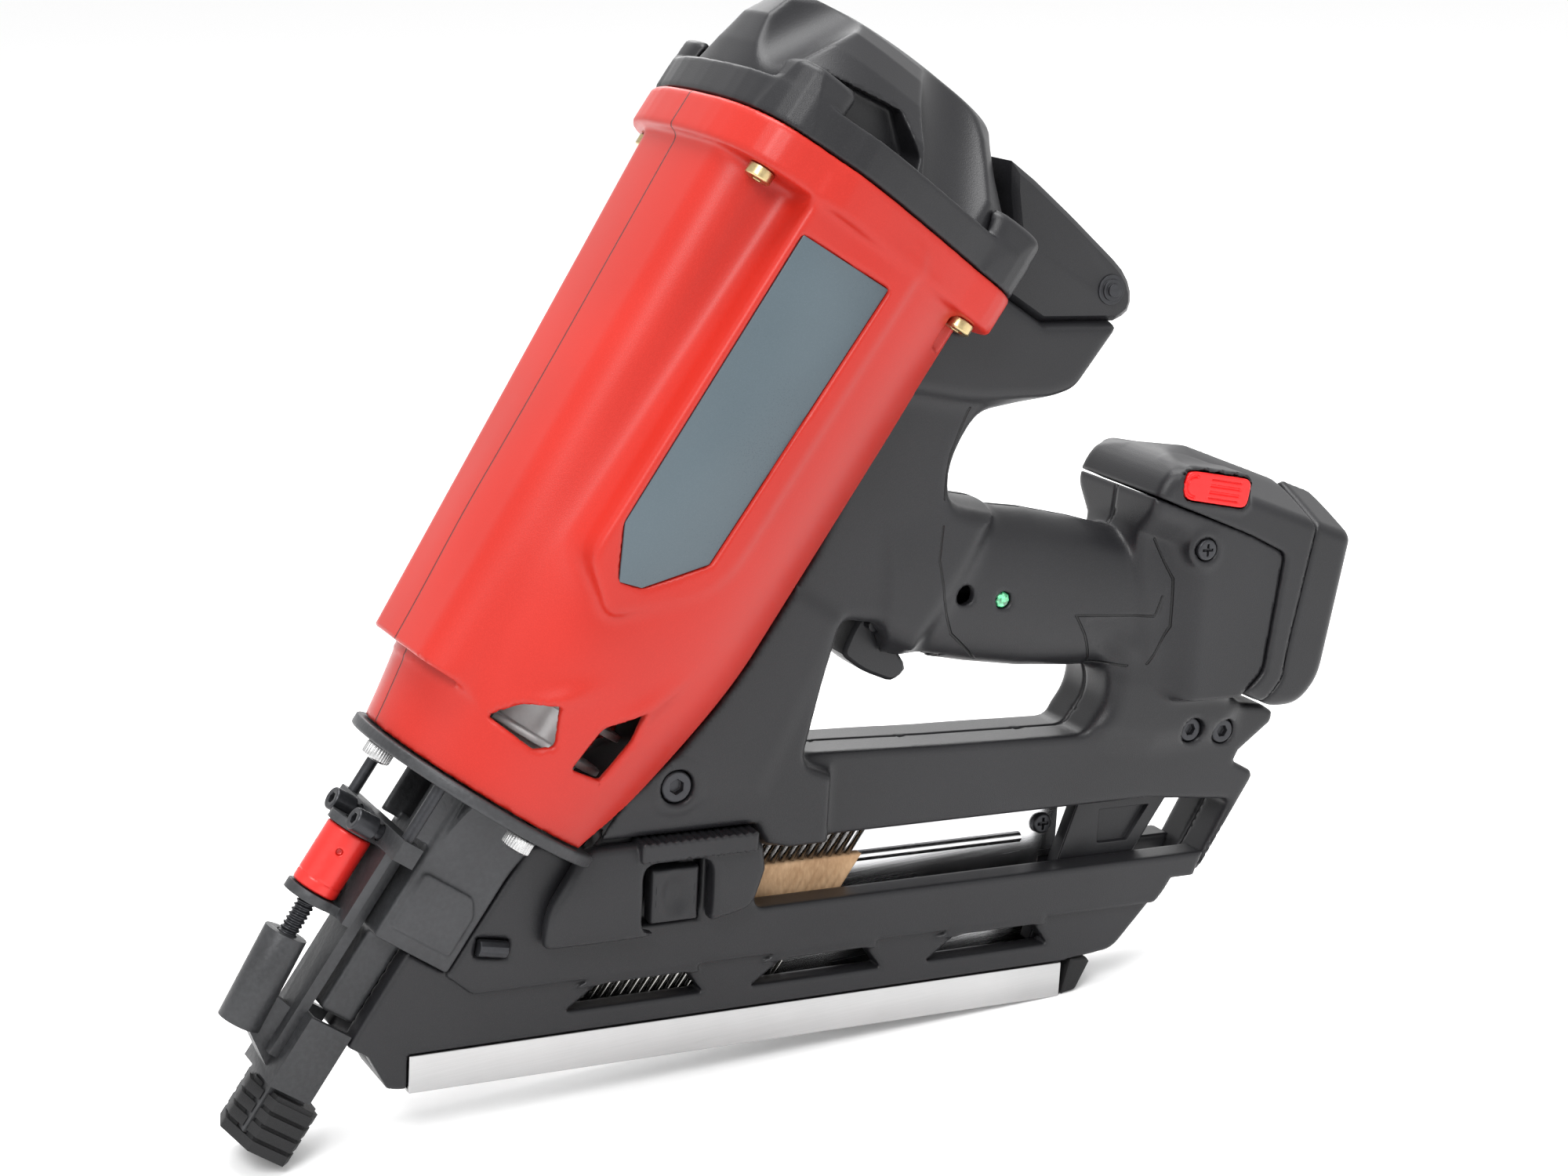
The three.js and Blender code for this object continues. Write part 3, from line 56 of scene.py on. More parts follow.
ORIGIN = pin_corners.mean(axis=0) / MM - TURN @ PIN_IN_DRIVE
RISE = np.radians(33)
NOSE_X = 4.5
RISE_TURN = np.array([[np.cos(RISE), 0, -np.sin(RISE)], [0, 1, 0], [np.sin(RISE), 0, np.cos(RISE)]])


def in_row(points, magazine=False):
    """Points of the drive frame, or of the magazine frame, as row points in metres: turned, then moved."""
    points = np.asarray(points, float)
    if magazine:
        points = points @ RISE_TURN.T + [NOSE_X, 0, 0]
    return (points @ TURN.T + ORIGIN) * MM


# ---- The floor, the light and the camera ----
# A plain pale floor under the tip and the rail, large soft lamps round it, and the camera low on the
# tool's right side, ahead of the nose.
def place(name, data, matrix):
    thing = bpy.data.objects.new(name, data)
    thing.matrix_world = matrix
    bpy.context.scene.collection.objects.link(thing)
    return thing


def facing(position, target):
    aim = (Vector(target) - Vector(position)).to_track_quat("-Z", "Y")
    return Matrix.Translation(position) @ aim.to_matrix().to_4x4()


# The camera's place and its right, up and back directions, all in the drive frame.
CAMERA_AT = (-404.6, -773.5, 186.9)
CAMERA_AXES = (0.7174, -0.4533, 0.5290), (-0.4741, 0.2387, 0.8475), (-0.5104, -0.8588, -0.0437)
LENS_LENGTH, FAR_CLIP = 66.09, 200
camera_data = bpy.data.cameras.new("camera")
camera_data.lens = LENS_LENGTH
camera_data.clip_end = FAR_CLIP
right, up, back = (Vector(TURN @ np.array(direction)) for direction in CAMERA_AXES)
turned = Matrix((right, up, back)).transposed().to_4x4()
eye = Vector(in_row(CAMERA_AT))
bpy.context.scene.camera = place("camera", camera_data, Matrix.Translation(eye) @ turned)

FLOOR_HALF = 60
FLOOR_CORNERS = [(-1, -1), (1, -1), (1, 1), (-1, 1)]
floor_mesh = bpy.data.meshes.new("floor")
floor_mesh.from_pydata([(x * FLOOR_HALF, y * FLOOR_HALF, 0) for x, y in FLOOR_CORNERS], [], [(0, 1, 2, 3)])
floor = place("floor", floor_mesh, Matrix())
floor_white = bpy.data.materials.new("floor_white")
floor_white.use_nodes = True
floor_white.node_tree.nodes["Principled BSDF"].inputs["Base Color"].default_value = (0.95, 0.95, 0.95, 1)
floor_white.node_tree.nodes["Principled BSDF"].inputs["Roughness"].default_value = 0.9
floor_mesh.materials.append(floor_white)
# Each lamp's place in metres, its size and its watts.
LAMPS = {
    "key": ((-0.9, -1.1, 1.5), 0.7, 22),
    "front": ((-1.5, -0.3, 0.5), 0.8, 2),
    "side": ((0.9, -1.4, 0.5), 0.9, 2),
    "over": ((0.1, 0.1, 1.8), 1.0, 32),
    "behind": ((0.6, 1.4, 1.0), 1.0, 10),
}
LAMP_TARGET = (0, 0, 0.16)
for name, (position, size, watts) in LAMPS.items():
    lamp = bpy.data.lights.new(name, "AREA")
    lamp.size = size
    lamp.energy = watts
    place(name, lamp, facing(position, LAMP_TARGET))
world = bpy.data.worlds.new("studio")
world.use_nodes = True
world.node_tree.nodes["Background"].inputs["Color"].default_value = (1, 1, 1, 1)
world.node_tree.nodes["Background"].inputs["Strength"].default_value = 1.0
bpy.context.scene.world = world
bpy.context.scene.view_settings.view_transform = "Standard"

# ---- Motor housing ----
# One red glass-filled nylon moulding: a barrel drawn in to its lower rim, a broad air duct down its front,
# a raised flat for the label on each side and a lobed flange on top. Screws through the flange hold the cap.
HOUSING_RED = (0.35, 0.0125, 0.006)


class Value:
    """A socket of a finish, whose sums and products add Math nodes."""

    def __init__(self, finish, socket):
        self.finish, self.socket = finish, socket

    def maths(self, operation, *values, clamp=False):
        settings = {"operation": operation, "use_clamp": clamp}
        return self.finish.node("ShaderNodeMath", settings, dict(enumerate(values)))[0]

    def __add__(self, other):
        return self.maths("ADD", self, other)

    def __sub__(self, other):
        return self.maths("SUBTRACT", self, other)

    def __rsub__(self, other):
        return self.maths("SUBTRACT", other, self)

    def __mul__(self, other):
        return self.maths("MULTIPLY", self, other)

    __radd__, __rmul__ = __add__, __mul__

    def step(self, low, high):
        """0 below low, 1 above high, and a straight ramp between them."""
        return (self - low).maths("MULTIPLY", self - low, 1 / (high - low), clamp=True)

    def distance(self):
        return self.maths("ABSOLUTE", self)


class Finish:
    """A procedural material on one Principled shader; places are read in object coordinates, in metres."""

    def __init__(self, name):
        self.material = bpy.data.materials.new(name)
        self.material.use_nodes = True
        self.tree = self.material.node_tree
        self.shader = self.tree.nodes["Principled BSDF"]
        self.place = self.node("ShaderNodeTexCoord", {}, {})["Object"]
        self.axes = self.node("ShaderNodeSeparateXYZ", {}, {0: self.place})

    def node(self, kind, settings, values):
        """A node of that kind; its outputs are given by name or number."""
        node = self.tree.nodes.new(kind)
        for key, value in settings.items():
            setattr(node, key, value)
        self.feed(node, values)
        return {key: Value(self, socket) for i, socket in enumerate(node.outputs) for key in (i, socket.name)}

    def feed(self, node, values):
        for key, value in values.items():
            if isinstance(value, Value):
                self.tree.links.new(value.socket, node.inputs[key])
            else:
                node.inputs[key].default_value = value

    def noise(self, scale, detail=3, stretch=None):
        """Noise from 0 to 1 with that many waves a metre, or drawn out along some axes."""
        where = self.place
        if stretch:
            where = self.node("ShaderNodeMapping", {}, {"Vector": self.place, "Scale": stretch})["Vector"]
        return self.node("ShaderNodeTexNoise", {}, {"Vector": where, "Scale": scale, "Detail": detail})[0]

    def shade(self, mask, low, high):
        """Colour low where the mask is 0 and high where it is 1."""
        ends = {"Factor": mask, 6: (*low, 1), 7: (*high, 1)}
        return self.node("ShaderNodeMix", {"data_type": "RGBA"}, ends)[2]

    def bump(self, height, depth, under=None):
        """A normal raised by height, which runs from 0 to 1, times depth in millimetres."""
        values = {"Height": height, "Distance": depth * MM, "Strength": 1.0}
        if under:
            values["Normal"] = under
        return self.node("ShaderNodeBump", {}, values)["Normal"]

    def finish(self, **values):
        self.feed(self.shader, {key.replace("_", " "): value for key, value in values.items()})
        return self.material


def moulded(name, colour, rough, grain=0.03, wear=1.35, seams=(), halves=False):
    """Moulded nylon: sparked fine grain, slow drifts of colour and gloss, and sunk dark seam lines. Each seam
    is a chain of points (x, z) in metres, and a point's distance to it is the least of those to its straight
    parts. Halves adds the joint line on y = 0."""
    skin = Finish(name)
    drift = skin.noise(14, 2)
    fine = skin.noise(2600, 2)
    lighter = tuple(min(1, channel * wear + 0.004) for channel in colour)
    tone = skin.shade((drift.step(0.35, 0.75) * 0.5 + fine.step(0.45, 0.8) * 0.35), colour, lighter)
    gloss = rough + (drift - 0.5) * 0.16 + (fine - 0.5) * 0.12
    normal = skin.bump(fine, grain)
    near = skin.axes["Y"].distance() if halves else None
    for seam in seams:
        for (x0, z0), (x1, z1) in zip(seam[:-1], seam[1:]):
            x, z = skin.axes["X"] - float(x0), skin.axes["Z"] - float(z0)
            run, rise = float(x1 - x0), float(z1 - z0)
            span = run ** 2 + rise ** 2
            along = (x * (run / span)).maths("ADD", x * (run / span), z * (rise / span), clamp=True)
            off_x, off_z = x - along * run, z - along * rise
            square = off_x * off_x + off_z * off_z
            gap = square.maths("POWER", square, 0.5)
            near = gap if near is None else near.maths("MINIMUM", near, gap)
    if near is not None:
        line = 1 - near.step(0.2 * MM, 0.5 * MM)
        dark = tuple(channel * 0.25 for channel in colour)
        tone = skin.node("ShaderNodeMix", {"data_type": "RGBA"}, {"Factor": line, 6: tone, 7: (*dark, 1)})[2]
        normal = skin.bump(1 - line, 0.4, normal)
    return skin.finish(Base_Color=tone, Roughness=gloss, Specular_IOR_Level=0.32, Normal=normal)


def curve(corners, steps=5):
    """An outline from corners (x, z, rounding): each rounding is a parabola between points set back along
    the sides."""
    points = np.array([corner[:2] for corner in corners], float)
    reach = np.array([corner[2] if len(corner) > 2 else 0 for corner in corners], float)
    before, after = np.roll(points, 1, axis=0) - points, np.roll(points, -1, axis=0) - points
    spans = [np.linalg.norm(side, axis=1) for side in (before, after)]
    start, end = (points + side * (np.minimum(reach, 0.45 * span) / span)[:, None]
                  for side, span in zip((before, after), spans))
    t = np.linspace(0, 1, steps)[None, :, None]
    path = (1 - t) ** 2 * start[:, None] + 2 * t * (1 - t) * points[:, None] + t ** 2 * end[:, None]
    path = path.reshape(-1, 2)
    return path[np.linalg.norm(path - np.roll(path, 1, axis=0), axis=1) > 1e-6]


def inside(outline, x, z):
    """Signed distance to a closed outline: the least distance to its sides, below 0 within by the winding
    rule."""
    best = np.full(np.broadcast(x, z).shape, 1e9)
    sign = np.ones(best.shape)
    for (ax, az), (bx, bz) in zip(outline, np.roll(outline, -1, axis=0)):
        ex, ez, px, pz = bx - ax, bz - az, x - ax, z - az
        t = np.clip((px * ex + pz * ez) / (ex * ex + ez * ez), 0, 1)
        best = np.minimum(best, (px - ex * t) ** 2 + (pz - ez * t) ** 2)
        above, below, leftward = z >= az, z < bz, ex * pz > ez * px
        sign = np.where((above & below & leftward) | ~(above | below | leftward), -sign, sign)
    return sign * np.sqrt(best)


def both(a, b, edge=0.0):
    """Where two solids overlap: the greater distance, rounded to edge where both are near."""
    a, b = a + edge, b + edge
    return np.minimum(np.maximum(a, b), 0) + np.hypot(np.maximum(a, 0), np.maximum(b, 0)) - edge


def slab(outline, x, y, z, half, edge=1.0, middle=0.0):
    """An outline in x and z carried across y, with rounded edges."""
    return both(inside(outline, x, z), np.abs(y - middle) - half, edge)


def melt(a, b, fillet):
    """Two solids joined with a fillet: the smaller distance, less a parabola where they are alike."""
    if not fillet:
        return np.minimum(a, b)
    near = np.maximum(fillet - np.abs(a - b), 0) / fillet
    return np.minimum(a, b) - near * near * fillet / 4


def carve(a, b, fillet=0.0):
    """Solid a with b taken out."""
    return -melt(-a, b, fillet)


def rod(x, y, z, start, end, radius):
    """A round bar with flat ends from start to end: the greater of the distances past its side and ends."""
    start, span = np.array(start, float), np.array(end, float) - np.array(start, float)
    length = np.linalg.norm(span)
    ux, uy, uz = span / length
    px, py, pz = x - start[0], y - start[1], z - start[2]
    along = px * ux + py * uy + pz * uz
    across = np.sqrt(np.maximum(px * px + py * py + pz * pz - along * along, 0)) - radius
    return np.maximum(across, np.abs(along - length / 2) - length / 2)


def brick(x, y, z, low, high):
    """A block: the length of what lies outside its faces."""
    gaps = [np.abs(v - (a + b) / 2) - (b - a) / 2 for v, a, b in zip((x, y, z), low, high)]
    outside = np.sqrt(sum(np.maximum(gap, 0) ** 2 for gap in gaps))
    return outside + np.minimum(np.maximum(np.maximum(gaps[0], gaps[1]), gaps[2]), 0)


def surface(field, low, high, step):
    """Surface nets: a vertex in each grid cell that the surface crosses, at the mean of its edge crossings,
    and a face round each crossed grid edge. Each vertex then slides down the field's slope to the surface."""
    axes = [np.arange(a - step, b + 2 * step, step) for a, b in zip(low, high)]
    grid = axes[0][:, None, None], axes[1][None, :, None], axes[2][None, None, :]
    shape = tuple(len(axis) for axis in axes)
    value = np.broadcast_to(field(*grid), shape)
    cells, places, faces = [], [], []
    strides = np.array([shape[1] * shape[2], shape[2], 1])
    for axis in range(3):
        count = shape[axis] - 1
        first, second = np.take(value, range(count), axis), np.take(value, range(1, count + 1), axis)
        where = np.argwhere((first < 0) != (second < 0))
        a, b = first[tuple(where.T)], second[tuple(where.T)]
        crossing = where.astype(float)
        crossing[:, axis] += a / (a - b)
        flat = where @ strides
        one, two = strides[(axis + 1) % 3], strides[(axis + 2) % 3]
        ring = np.stack([flat - one - two, flat - two, flat, flat - one], axis=1)
        cells.append(ring.ravel())
        places.append(np.repeat(crossing, 4, axis=0))
        faces.append(np.where((a < 0)[:, None], ring, ring[:, ::-1]))
    cells, places, faces = (np.concatenate(rows) for rows in (cells, places, faces))
    used, index = np.unique(cells, return_inverse=True)
    total = np.bincount(index)
    points = np.stack([np.bincount(index, places[:, k]) / total for k in range(3)], axis=1)
    points = points * step + [axis[0] for axis in axes]
    nudge = step * 0.02
    for _ in range(3):
        here = field(*points.T)
        slope = np.stack([field(*(points + nudge * unit).T) - here for unit in np.eye(3)], axis=1) / nudge
        move = slope * (here / np.maximum((slope ** 2).sum(axis=1), 0.05))[:, None]
        reach = np.maximum(np.linalg.norm(move, axis=1, keepdims=True) / (step * 0.5), 1)
        points -= move / reach
    return points, np.searchsorted(used, faces)


def piece(name, points, faces, finish, body, slot, replaced=(), magazine=False):
    """A new mesh piece in the row frame that rides on a body."""
    mesh = bpy.data.meshes.new(name)
    faces = np.asarray(faces)
    mesh.vertices.add(len(points))
    mesh.vertices.foreach_set("co", in_row(points, magazine).ravel())
    mesh.loops.add(faces.size)
    mesh.loops.foreach_set("vertex_index", faces.ravel())
    mesh.polygons.add(len(faces))
    mesh.polygons.foreach_set("loop_start", np.arange(len(faces)) * faces.shape[1])
    mesh.polygons.foreach_set("use_smooth", np.ones(len(faces), bool))
    mesh.update()
    mesh.validate()
    mesh.materials.append(finish)
    thing = place(name, mesh, Matrix())
    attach(thing, body)
    if replaced:
        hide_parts(*replaced)
    return thing


def moulding(name, field, low, high, step, *way, **more):
    """A piece whose surface is where a distance field is 0, found on a grid between two corners."""
    return piece(name, *surface(field, low, high, step), *way, **more)


BARREL_R, RIM_R, RIM_W, FLANGE_LOW, FLANGE_TOP = 50, 39.5, 126.5, 321, 334
FAR = 400


def barrel_radius(w, grow=0.0):
    """The barrel's radius at a height: a smooth step from the rim to full beside the label."""
    t = np.clip((w - RIM_W + 22) / 100, 0, 1)
    start = 0.22 ** 2 * (3 - 2 * 0.22)
    return RIM_R + grow + (BARREL_R - RIM_R) * (t * t * (3 - 2 * t) - start) / (1 - start)


def barrel(x, y, z, grow=0.0, low=RIM_W):
    """The barrel: the distance past its radius, eased for its slope, cut off at low and at the flange."""
    side = (np.hypot(x, y) - barrel_radius(z, grow)) * 0.97
    return np.maximum(side, np.maximum(low - z, z - (FLANGE_LOW + 1)))


DUCT_HALF, DUCT_FRONT, DUCT_MOUTH, DUCT_TAPER = 34, 58, 150.5, 9.5


def duct(x, y, z, grow=0.0, low=DUCT_MOUTH, high=FLANGE_LOW + 1, edge=12.0):
    """The front duct: a channel with round corners, whose dished front leans in towards its mouth."""
    front = -(DUCT_FRONT - DUCT_TAPER * (FLANGE_LOW - z) / (FLANGE_LOW - DUCT_MOUTH)) - grow
    crown = 0.0022 * y * y
    side = both(front + crown - x, np.abs(y) - DUCT_HALF - grow + 0.03 * (FLANGE_LOW - z), edge)
    return np.maximum(np.maximum(side, x), np.maximum(low - z, z - high))


PAD = curve([(-33.5, 329), (8, 329, 6), (8, 213, 12), (-18, 189, 4), (-33.5, 201, 6)])
FLANGE_HALF = [(-62, 0), (-61, 22), (-57.5, 36), (-52, 44), (-44, 48), (-35, 50), (-27, 53.5), (-12, 53),
               (2, 51), (16, 49), (27, 46.5), (37, 46), (44, 42.5), (47, 36), (46, 27), (44, 16), (43.5, 0)]
FLANGE = curve([(x, y, 6) for x, y in FLANGE_HALF + [(x, -y) for x, y in FLANGE_HALF[-2:0:-1]]], 3)
LABEL_FRONT, LABEL_REAR, LABEL_LOW, LABEL_HIGH = -31, 2, 199, 313
LABEL = curve([(LABEL_FRONT, LABEL_HIGH - 2, 1.5), (LABEL_REAR + 0.5, LABEL_HIGH, 1.5),
               (LABEL_REAR - 1.5, LABEL_LOW + 18, 1.5),
               (LABEL_FRONT + 17, LABEL_LOW + 2, 2), (LABEL_FRONT + 9, LABEL_LOW, 2),
               (LABEL_FRONT + 0.5, LABEL_LOW + 15, 2)])
REAR_EDGE = [(40, FLANGE_LOW + 5), (40.2, 297), (42, 282), (43, 268), (45.5, 245, 6), (48.4, 218, 6),
             (49.5, 194, 8), (41.6, 167, 6), (35.3, 148, 4), (25.3, 130, 4), (20, RIM_W - 12)]
BEHIND = curve([(FAR, FLANGE_LOW + 5), *REAR_EDGE, (FAR, RIM_W - 12)])
VENTS = [curve([(-26, 147, 1), (-21.5, 155, 2), (-12.5, 160.5, 1), (-6.5, 149.5, 1), (-11, 145.5, 1)]),
         curve([(2, 146, 1), (2, 161, 2), (11, 171.5, 1), (14, 162, 1), (13, 147.5, 1)])]
HOODS = [((-26, 146), (-10, 166)), ((0, 150), (13, 179))]
CAP_SCREWS = [(-47, -38), (-47, 38), (36, -37.5), (36, 37.5)]


def housing_field(x, y, z):
    """Barrel, label flats, duct, hoods and flange melted together, less the hollow, vents and recesses."""
    body = melt(barrel(x, y, z), slab(PAD, x, y, z, BARREL_R, 2.0), 3.5)
    body = melt(body, duct(x, y, z), 4.5)
    for (x0, z0), (x1, z1) in HOODS:
        along = ((x - x0) * (x1 - x0) + (z - z0) * (z1 - z0)) / ((x1 - x0) ** 2 + (z1 - z0) ** 2)
        off = np.hypot(x - x0 - (x1 - x0) * along, z - z0 - (z1 - z0) * along)
        body = body - 1.6 * np.exp(-(off / 3.5) ** 2 - ((along - 0.75) / 0.4) ** 2) * (np.abs(y) > 20)
    body = carve(body, inside(BEHIND, x, z))
    for sx, sy in CAP_SCREWS:
        head = np.maximum(np.hypot(x - sx, y - sy) - 4.7, np.abs(z - FLANGE_LOW + 6) - 6)
        body = carve(body, head)
    rim = both(inside(FLANGE, x, y), np.abs(z - (FLANGE_LOW + FLANGE_TOP) / 2) - 6.5, 1.6)
    body = melt(body, rim, 3)
    hollow = np.minimum(barrel(x, y, z, -3, low=RIM_W - 5), np.maximum(np.hypot(x, y) - 47, 317 - z))
    hollow = np.minimum(hollow, duct(x, y, z, -3, low=DUCT_MOUTH + 3, high=FLANGE_LOW - 3))
    body = carve(body, hollow)
    mouth = np.maximum(duct(x, y, z, -2.6, low=DUCT_MOUTH - 2, high=DUCT_MOUTH + 10), -barrel(x, y, z, 0.2))
    body = carve(body, mouth)
    for vent in VENTS:
        body = carve(body, slab(vent, x, y, z, FAR), 1.2)
    recess = np.maximum(inside(LABEL, x, z), BARREL_R - 1.35 - np.abs(y))
    return carve(body, recess, 0.4)


red_nylon = moulded("red_nylon", HOUSING_RED, 0.38, halves=True)
moulding("housing_shell", housing_field, (-66, -56, 124), (52, 56, 336), 1.3,
         red_nylon, "frame", "red_nylon", ["motor_housing"])

# ---- Label on each side ----
# A thin grey satin plate let into a recess of the same outline in the housing's flat. It is left blank.
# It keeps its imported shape, with its edges eased.
label_satin = moulded("label_satin", (0.062, 0.084, 0.098), 0.3, 0.008)


def dressed(name, finish, body, width=0.5, segments=2):
    """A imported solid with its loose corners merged, its edges rounded off and a finish."""
    mesh = frame["nodes"][name].data.copy()
    mesh.name = name + "_dressed"
    work = bmesh.new()
    work.from_mesh(mesh)
    bmesh.ops.remove_doubles(work, verts=work.verts, dist=0.02 * MM)
    work.to_mesh(mesh)
    work.free()
    mesh.materials.clear()
    mesh.materials.append(finish)
    mesh.polygons.foreach_set("use_smooth", np.ones(len(mesh.polygons), bool))
    thing = place(name + "_dressed", mesh, Matrix())
    bevel = thing.modifiers.new("edges", "BEVEL")
    bevel.width, bevel.segments, bevel.limit_method = width * MM, segments, "ANGLE"
    bevel.angle_limit = np.radians(28)
    bevel.harden_normals = True
    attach(thing, body)
    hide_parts(name)
    return thing


for side in ("right", "left"):
    dressed("label_" + side, label_satin, "frame", 0.25)

# ---- Cap ----
# A black nylon ring on the flange with a tower over each screw, and a domed cap over the fan with a
# scoop on each shoulder. The cap drops into the ring, with a dark line between them.
BASE_LOW, BASE_TOP, DOME_HEIGHT, CAP_WALL = 334.35, 345.35, 35.5, 2.6
NYLON_BLACK = (0.0085, 0.0085, 0.0098)
black_nylon = moulded("black_nylon", NYLON_BLACK, 0.41, 0.05, 1.9)
DOME_RISE = [0, 8, 18, 26, 31, 35.5]
DOME_FRONT = [-59, -59, -58, -54, -46, -18]
DOME_REAR = [46, 43.5, 34.5, 29.5, 28, 25]
DOME_SIDE = [46, 43.5, 36, 28, 20, 9]
NOTCH = curve([(-62, 338), (-56, 349, 2), (-50, 353.5, 1), (-20, 358.5, 1), (-9, 350, 1), (-7, 338)])
PANEL = curve([(-60, 338), (-55, 348.5, 2), (-49.5, 352.2, 1), (-21, 357.2, 1), (-10.5, 349.5, 1),
               (-8.5, 338)])


def rounded_box(x, y, centre_x, half_x, half_y, power):
    """A superellipse as a distance: its radius less 1, times the smaller half."""
    reach = (np.abs((x - centre_x) / half_x) ** power + np.abs(y / half_y) ** power) ** (1 / power)
    return (reach - 1) * np.minimum(half_x, half_y)


def dome(x, y, z, grow=0.0):
    """Superellipses stacked up the axis, with their halves run through smoothed stations, less the scoops."""
    rise = np.clip(z - BASE_TOP - 0.35, 0, DOME_HEIGHT - 0.01)
    ends = [np.interp(rise, DOME_RISE, row) for row in (DOME_FRONT, DOME_REAR, DOME_SIDE)]
    middle, half_x = (ends[0] + ends[1]) / 2, (ends[1] - ends[0]) / 2 + grow
    body = rounded_box(x, y, middle, half_x, ends[2] + grow, 2.6) * 0.75
    return both(body, z - BASE_TOP - DOME_HEIGHT - grow, 3.0)


def cap_field(x, y, z):
    """The dome with two dished scoops a side and a notch for the ring's panel, hollowed CAP_WALL inside its
    surface."""
    body = dome(x, y, z)
    for side in (-1, 1):
        rear = rod(x, y, z, (7, side * 57, 352), (0.6, side * 17, 404.8), 20)
        ahead = (x + 17 - (z - 372) * -0.45) * 0.9
        body = carve(body, both(rear, -ahead, 1.0), 1.2)
        front = rod(x, y, z, (-73, side * 29, 350), (-37.3, side * 15.4, 401), 16)
        body = carve(body, front, 1.2)
        notch = slab(NOTCH, x, y - side * 46, z, 13.5, 1)
        body = carve(body, notch, 0.6)
    walled = np.maximum(body, -(body + CAP_WALL))
    return np.maximum(walled, BASE_TOP - 4 - z)


def base_field(x, y, z):
    """A ring just inside the flange's outline, a leaning tower at each screw and a panel on each side, less a
    bore and the dome's seat."""
    middle, half = (BASE_LOW + BASE_TOP) / 2, (BASE_TOP - BASE_LOW) / 2
    body = both(inside(FLANGE, x, y) + 1, np.abs(z - middle) - half, 1.2)
    for sx, sy in CAP_SCREWS:
        lean = (z - BASE_LOW) * 0.16
        tower = rounded_box(x + np.sign(sx) * lean * 0.8, y - sy + np.sign(sy) * lean, sx, 10.5, 9.5, 3.2)
        tower = both(np.maximum(tower, inside(FLANGE, x, y) + 0.6), z - BASE_TOP - 8.2, 2.6)
        body = melt(body, np.maximum(tower, BASE_LOW - z), 1.6)
    for side in (-1, 1):
        collar = np.maximum(slab(PANEL, x, y, z, 3.0, 1, middle=side * 37.5), inside(FLANGE, x, y) + 2.5)
        body = melt(body, collar, 1.2)
    body = carve(body, np.maximum(np.hypot(x, y) - 41, np.abs(z - BASE_LOW) - 60))
    body = carve(body, np.maximum(dome(x, y, z, 0.5), BASE_TOP - 4.4 - z))
    return np.maximum(body, BASE_LOW - z)


moulding("cap_shell", cap_field, (-62, -50, 340), (50, 50, 382), 0.9,
         black_nylon, "frame", "black_nylon", ["top_cap"])
moulding("cap_ring", base_field, (-64, -56, 333), (50, 56, 360), 0.9,
         black_nylon, "frame", "black_nylon", ["cap_base"])

# ---- Frame ----
# Two black nylon halves screwed together: the neck behind the housing, the handle, the beam over the
# magazine and the battery holder at the rear. The handle's skin is a softer, finer grained moulding.
GRIP_Y, NECK_Y, LOWER_Y, BEAM_Y, COLUMN_Y, HOLDER_Y = 17.5, 25, 21, 13.5, 15.5, 23.5


def mag(x, w, rounding=0):
    """A drive frame point in the magazine frame, keeping its rounding."""
    m, _, n = RISE_TURN.T @ np.array([x - NOSE_X, 0, w])
    return (m, n, rounding)


def drive(m, n):
    """Magazine frame coordinates in the drive frame."""
    return NOSE_X + m * np.cos(RISE) - n * np.sin(RISE), m * np.sin(RISE) + n * np.cos(RISE)


TOP_LINE, SLOT_HIGH, SLOT_LOW, TRACK_TOP, CHANNEL_HALF = 92, 83.3, 62.5, 95, 5.4
NECK = curve([mag(*p) for p in [
    (24, 128), (24, 336.5), (54.5, 336.5), (70.5, 336.9), (93.5, 351.5, 2), (92, 328, 3), (86, 321, 4),
    (78, 312, 6), (70, 304, 10), (71.5, 286, 14), (80, 275, 10), (96, 281), (96, 232), (80, 232),
    (66.6, 226, 6), (69, 216, 6), (73.3, 182.6), (75, 168), (50, 150)]])
NECK_WIDE = curve([mag(*p) for p in [
    (24, 268), (24, 336.5), (54.5, 336.5), (70.5, 336.9), (93.5, 351.5, 2), (92, 328, 3), (86, 321, 4),
    (77, 316, 6), (62, 306, 10), (40, 297, 4)]])
LOWER = curve([mag(19, 124), (77.5, TOP_LINE + 0.35), (150, TOP_LINE + 0.35), (154.5, SLOT_HIGH + 2),
               (162, SLOT_HIGH),
               (176, SLOT_HIGH), (176, 106), (165, 110.5, 5), (171.7, 140, 8), mag(66.6, 226), mag(42, 226),
               mag(24, 140)])
BEAM = curve([(150, SLOT_HIGH + 3), (158, SLOT_HIGH), (300, SLOT_HIGH), (336, 79.3, 3), (326.6, 61.6, 1.5),
              (322.5, 55),
              (324, 54.8), (326.3, 56.6, 1.5), (344.6, 87, 1.5), (343.6, 89), (336, 93), (337.7, 96.6),
              (350, 105.8),
              (350.7, 109.4), (346, 112.3), (336, 113.6), (327.3, 118.8), (327.3, 126), (284, 126),
              (283, 117, 5), (276, 108, 6), (220, 109.5), (168, 111.5), (150, 108)])
COLUMN = curve([(283.8, 140), (282.8, 118, 8), (276, 109, 6), (300, 104), (330, 106), (332, 112), (327, 119),
                (327, 140)])
HOLDER_SEAM = [(286.6, 190), (324.8, 176, 4), (340.5, 168.6, 3), (336, 127.8, 3), (327.5, 119.4)]
HOLDER = curve([*HOLDER_SEAM, (300, 119.4, 8), (291, 140, 10), (286, 172, 6)])
HOLDER_LONG = curve([(288, 198), (333, 183, 4), (349, 171, 3), (344, 124, 3), (334, 112), (300, 119.4, 8),
                     (291, 140, 10), (286, 172, 6)])
GRIP_M = [196, 212, 230, 250, 270, 286, 302]
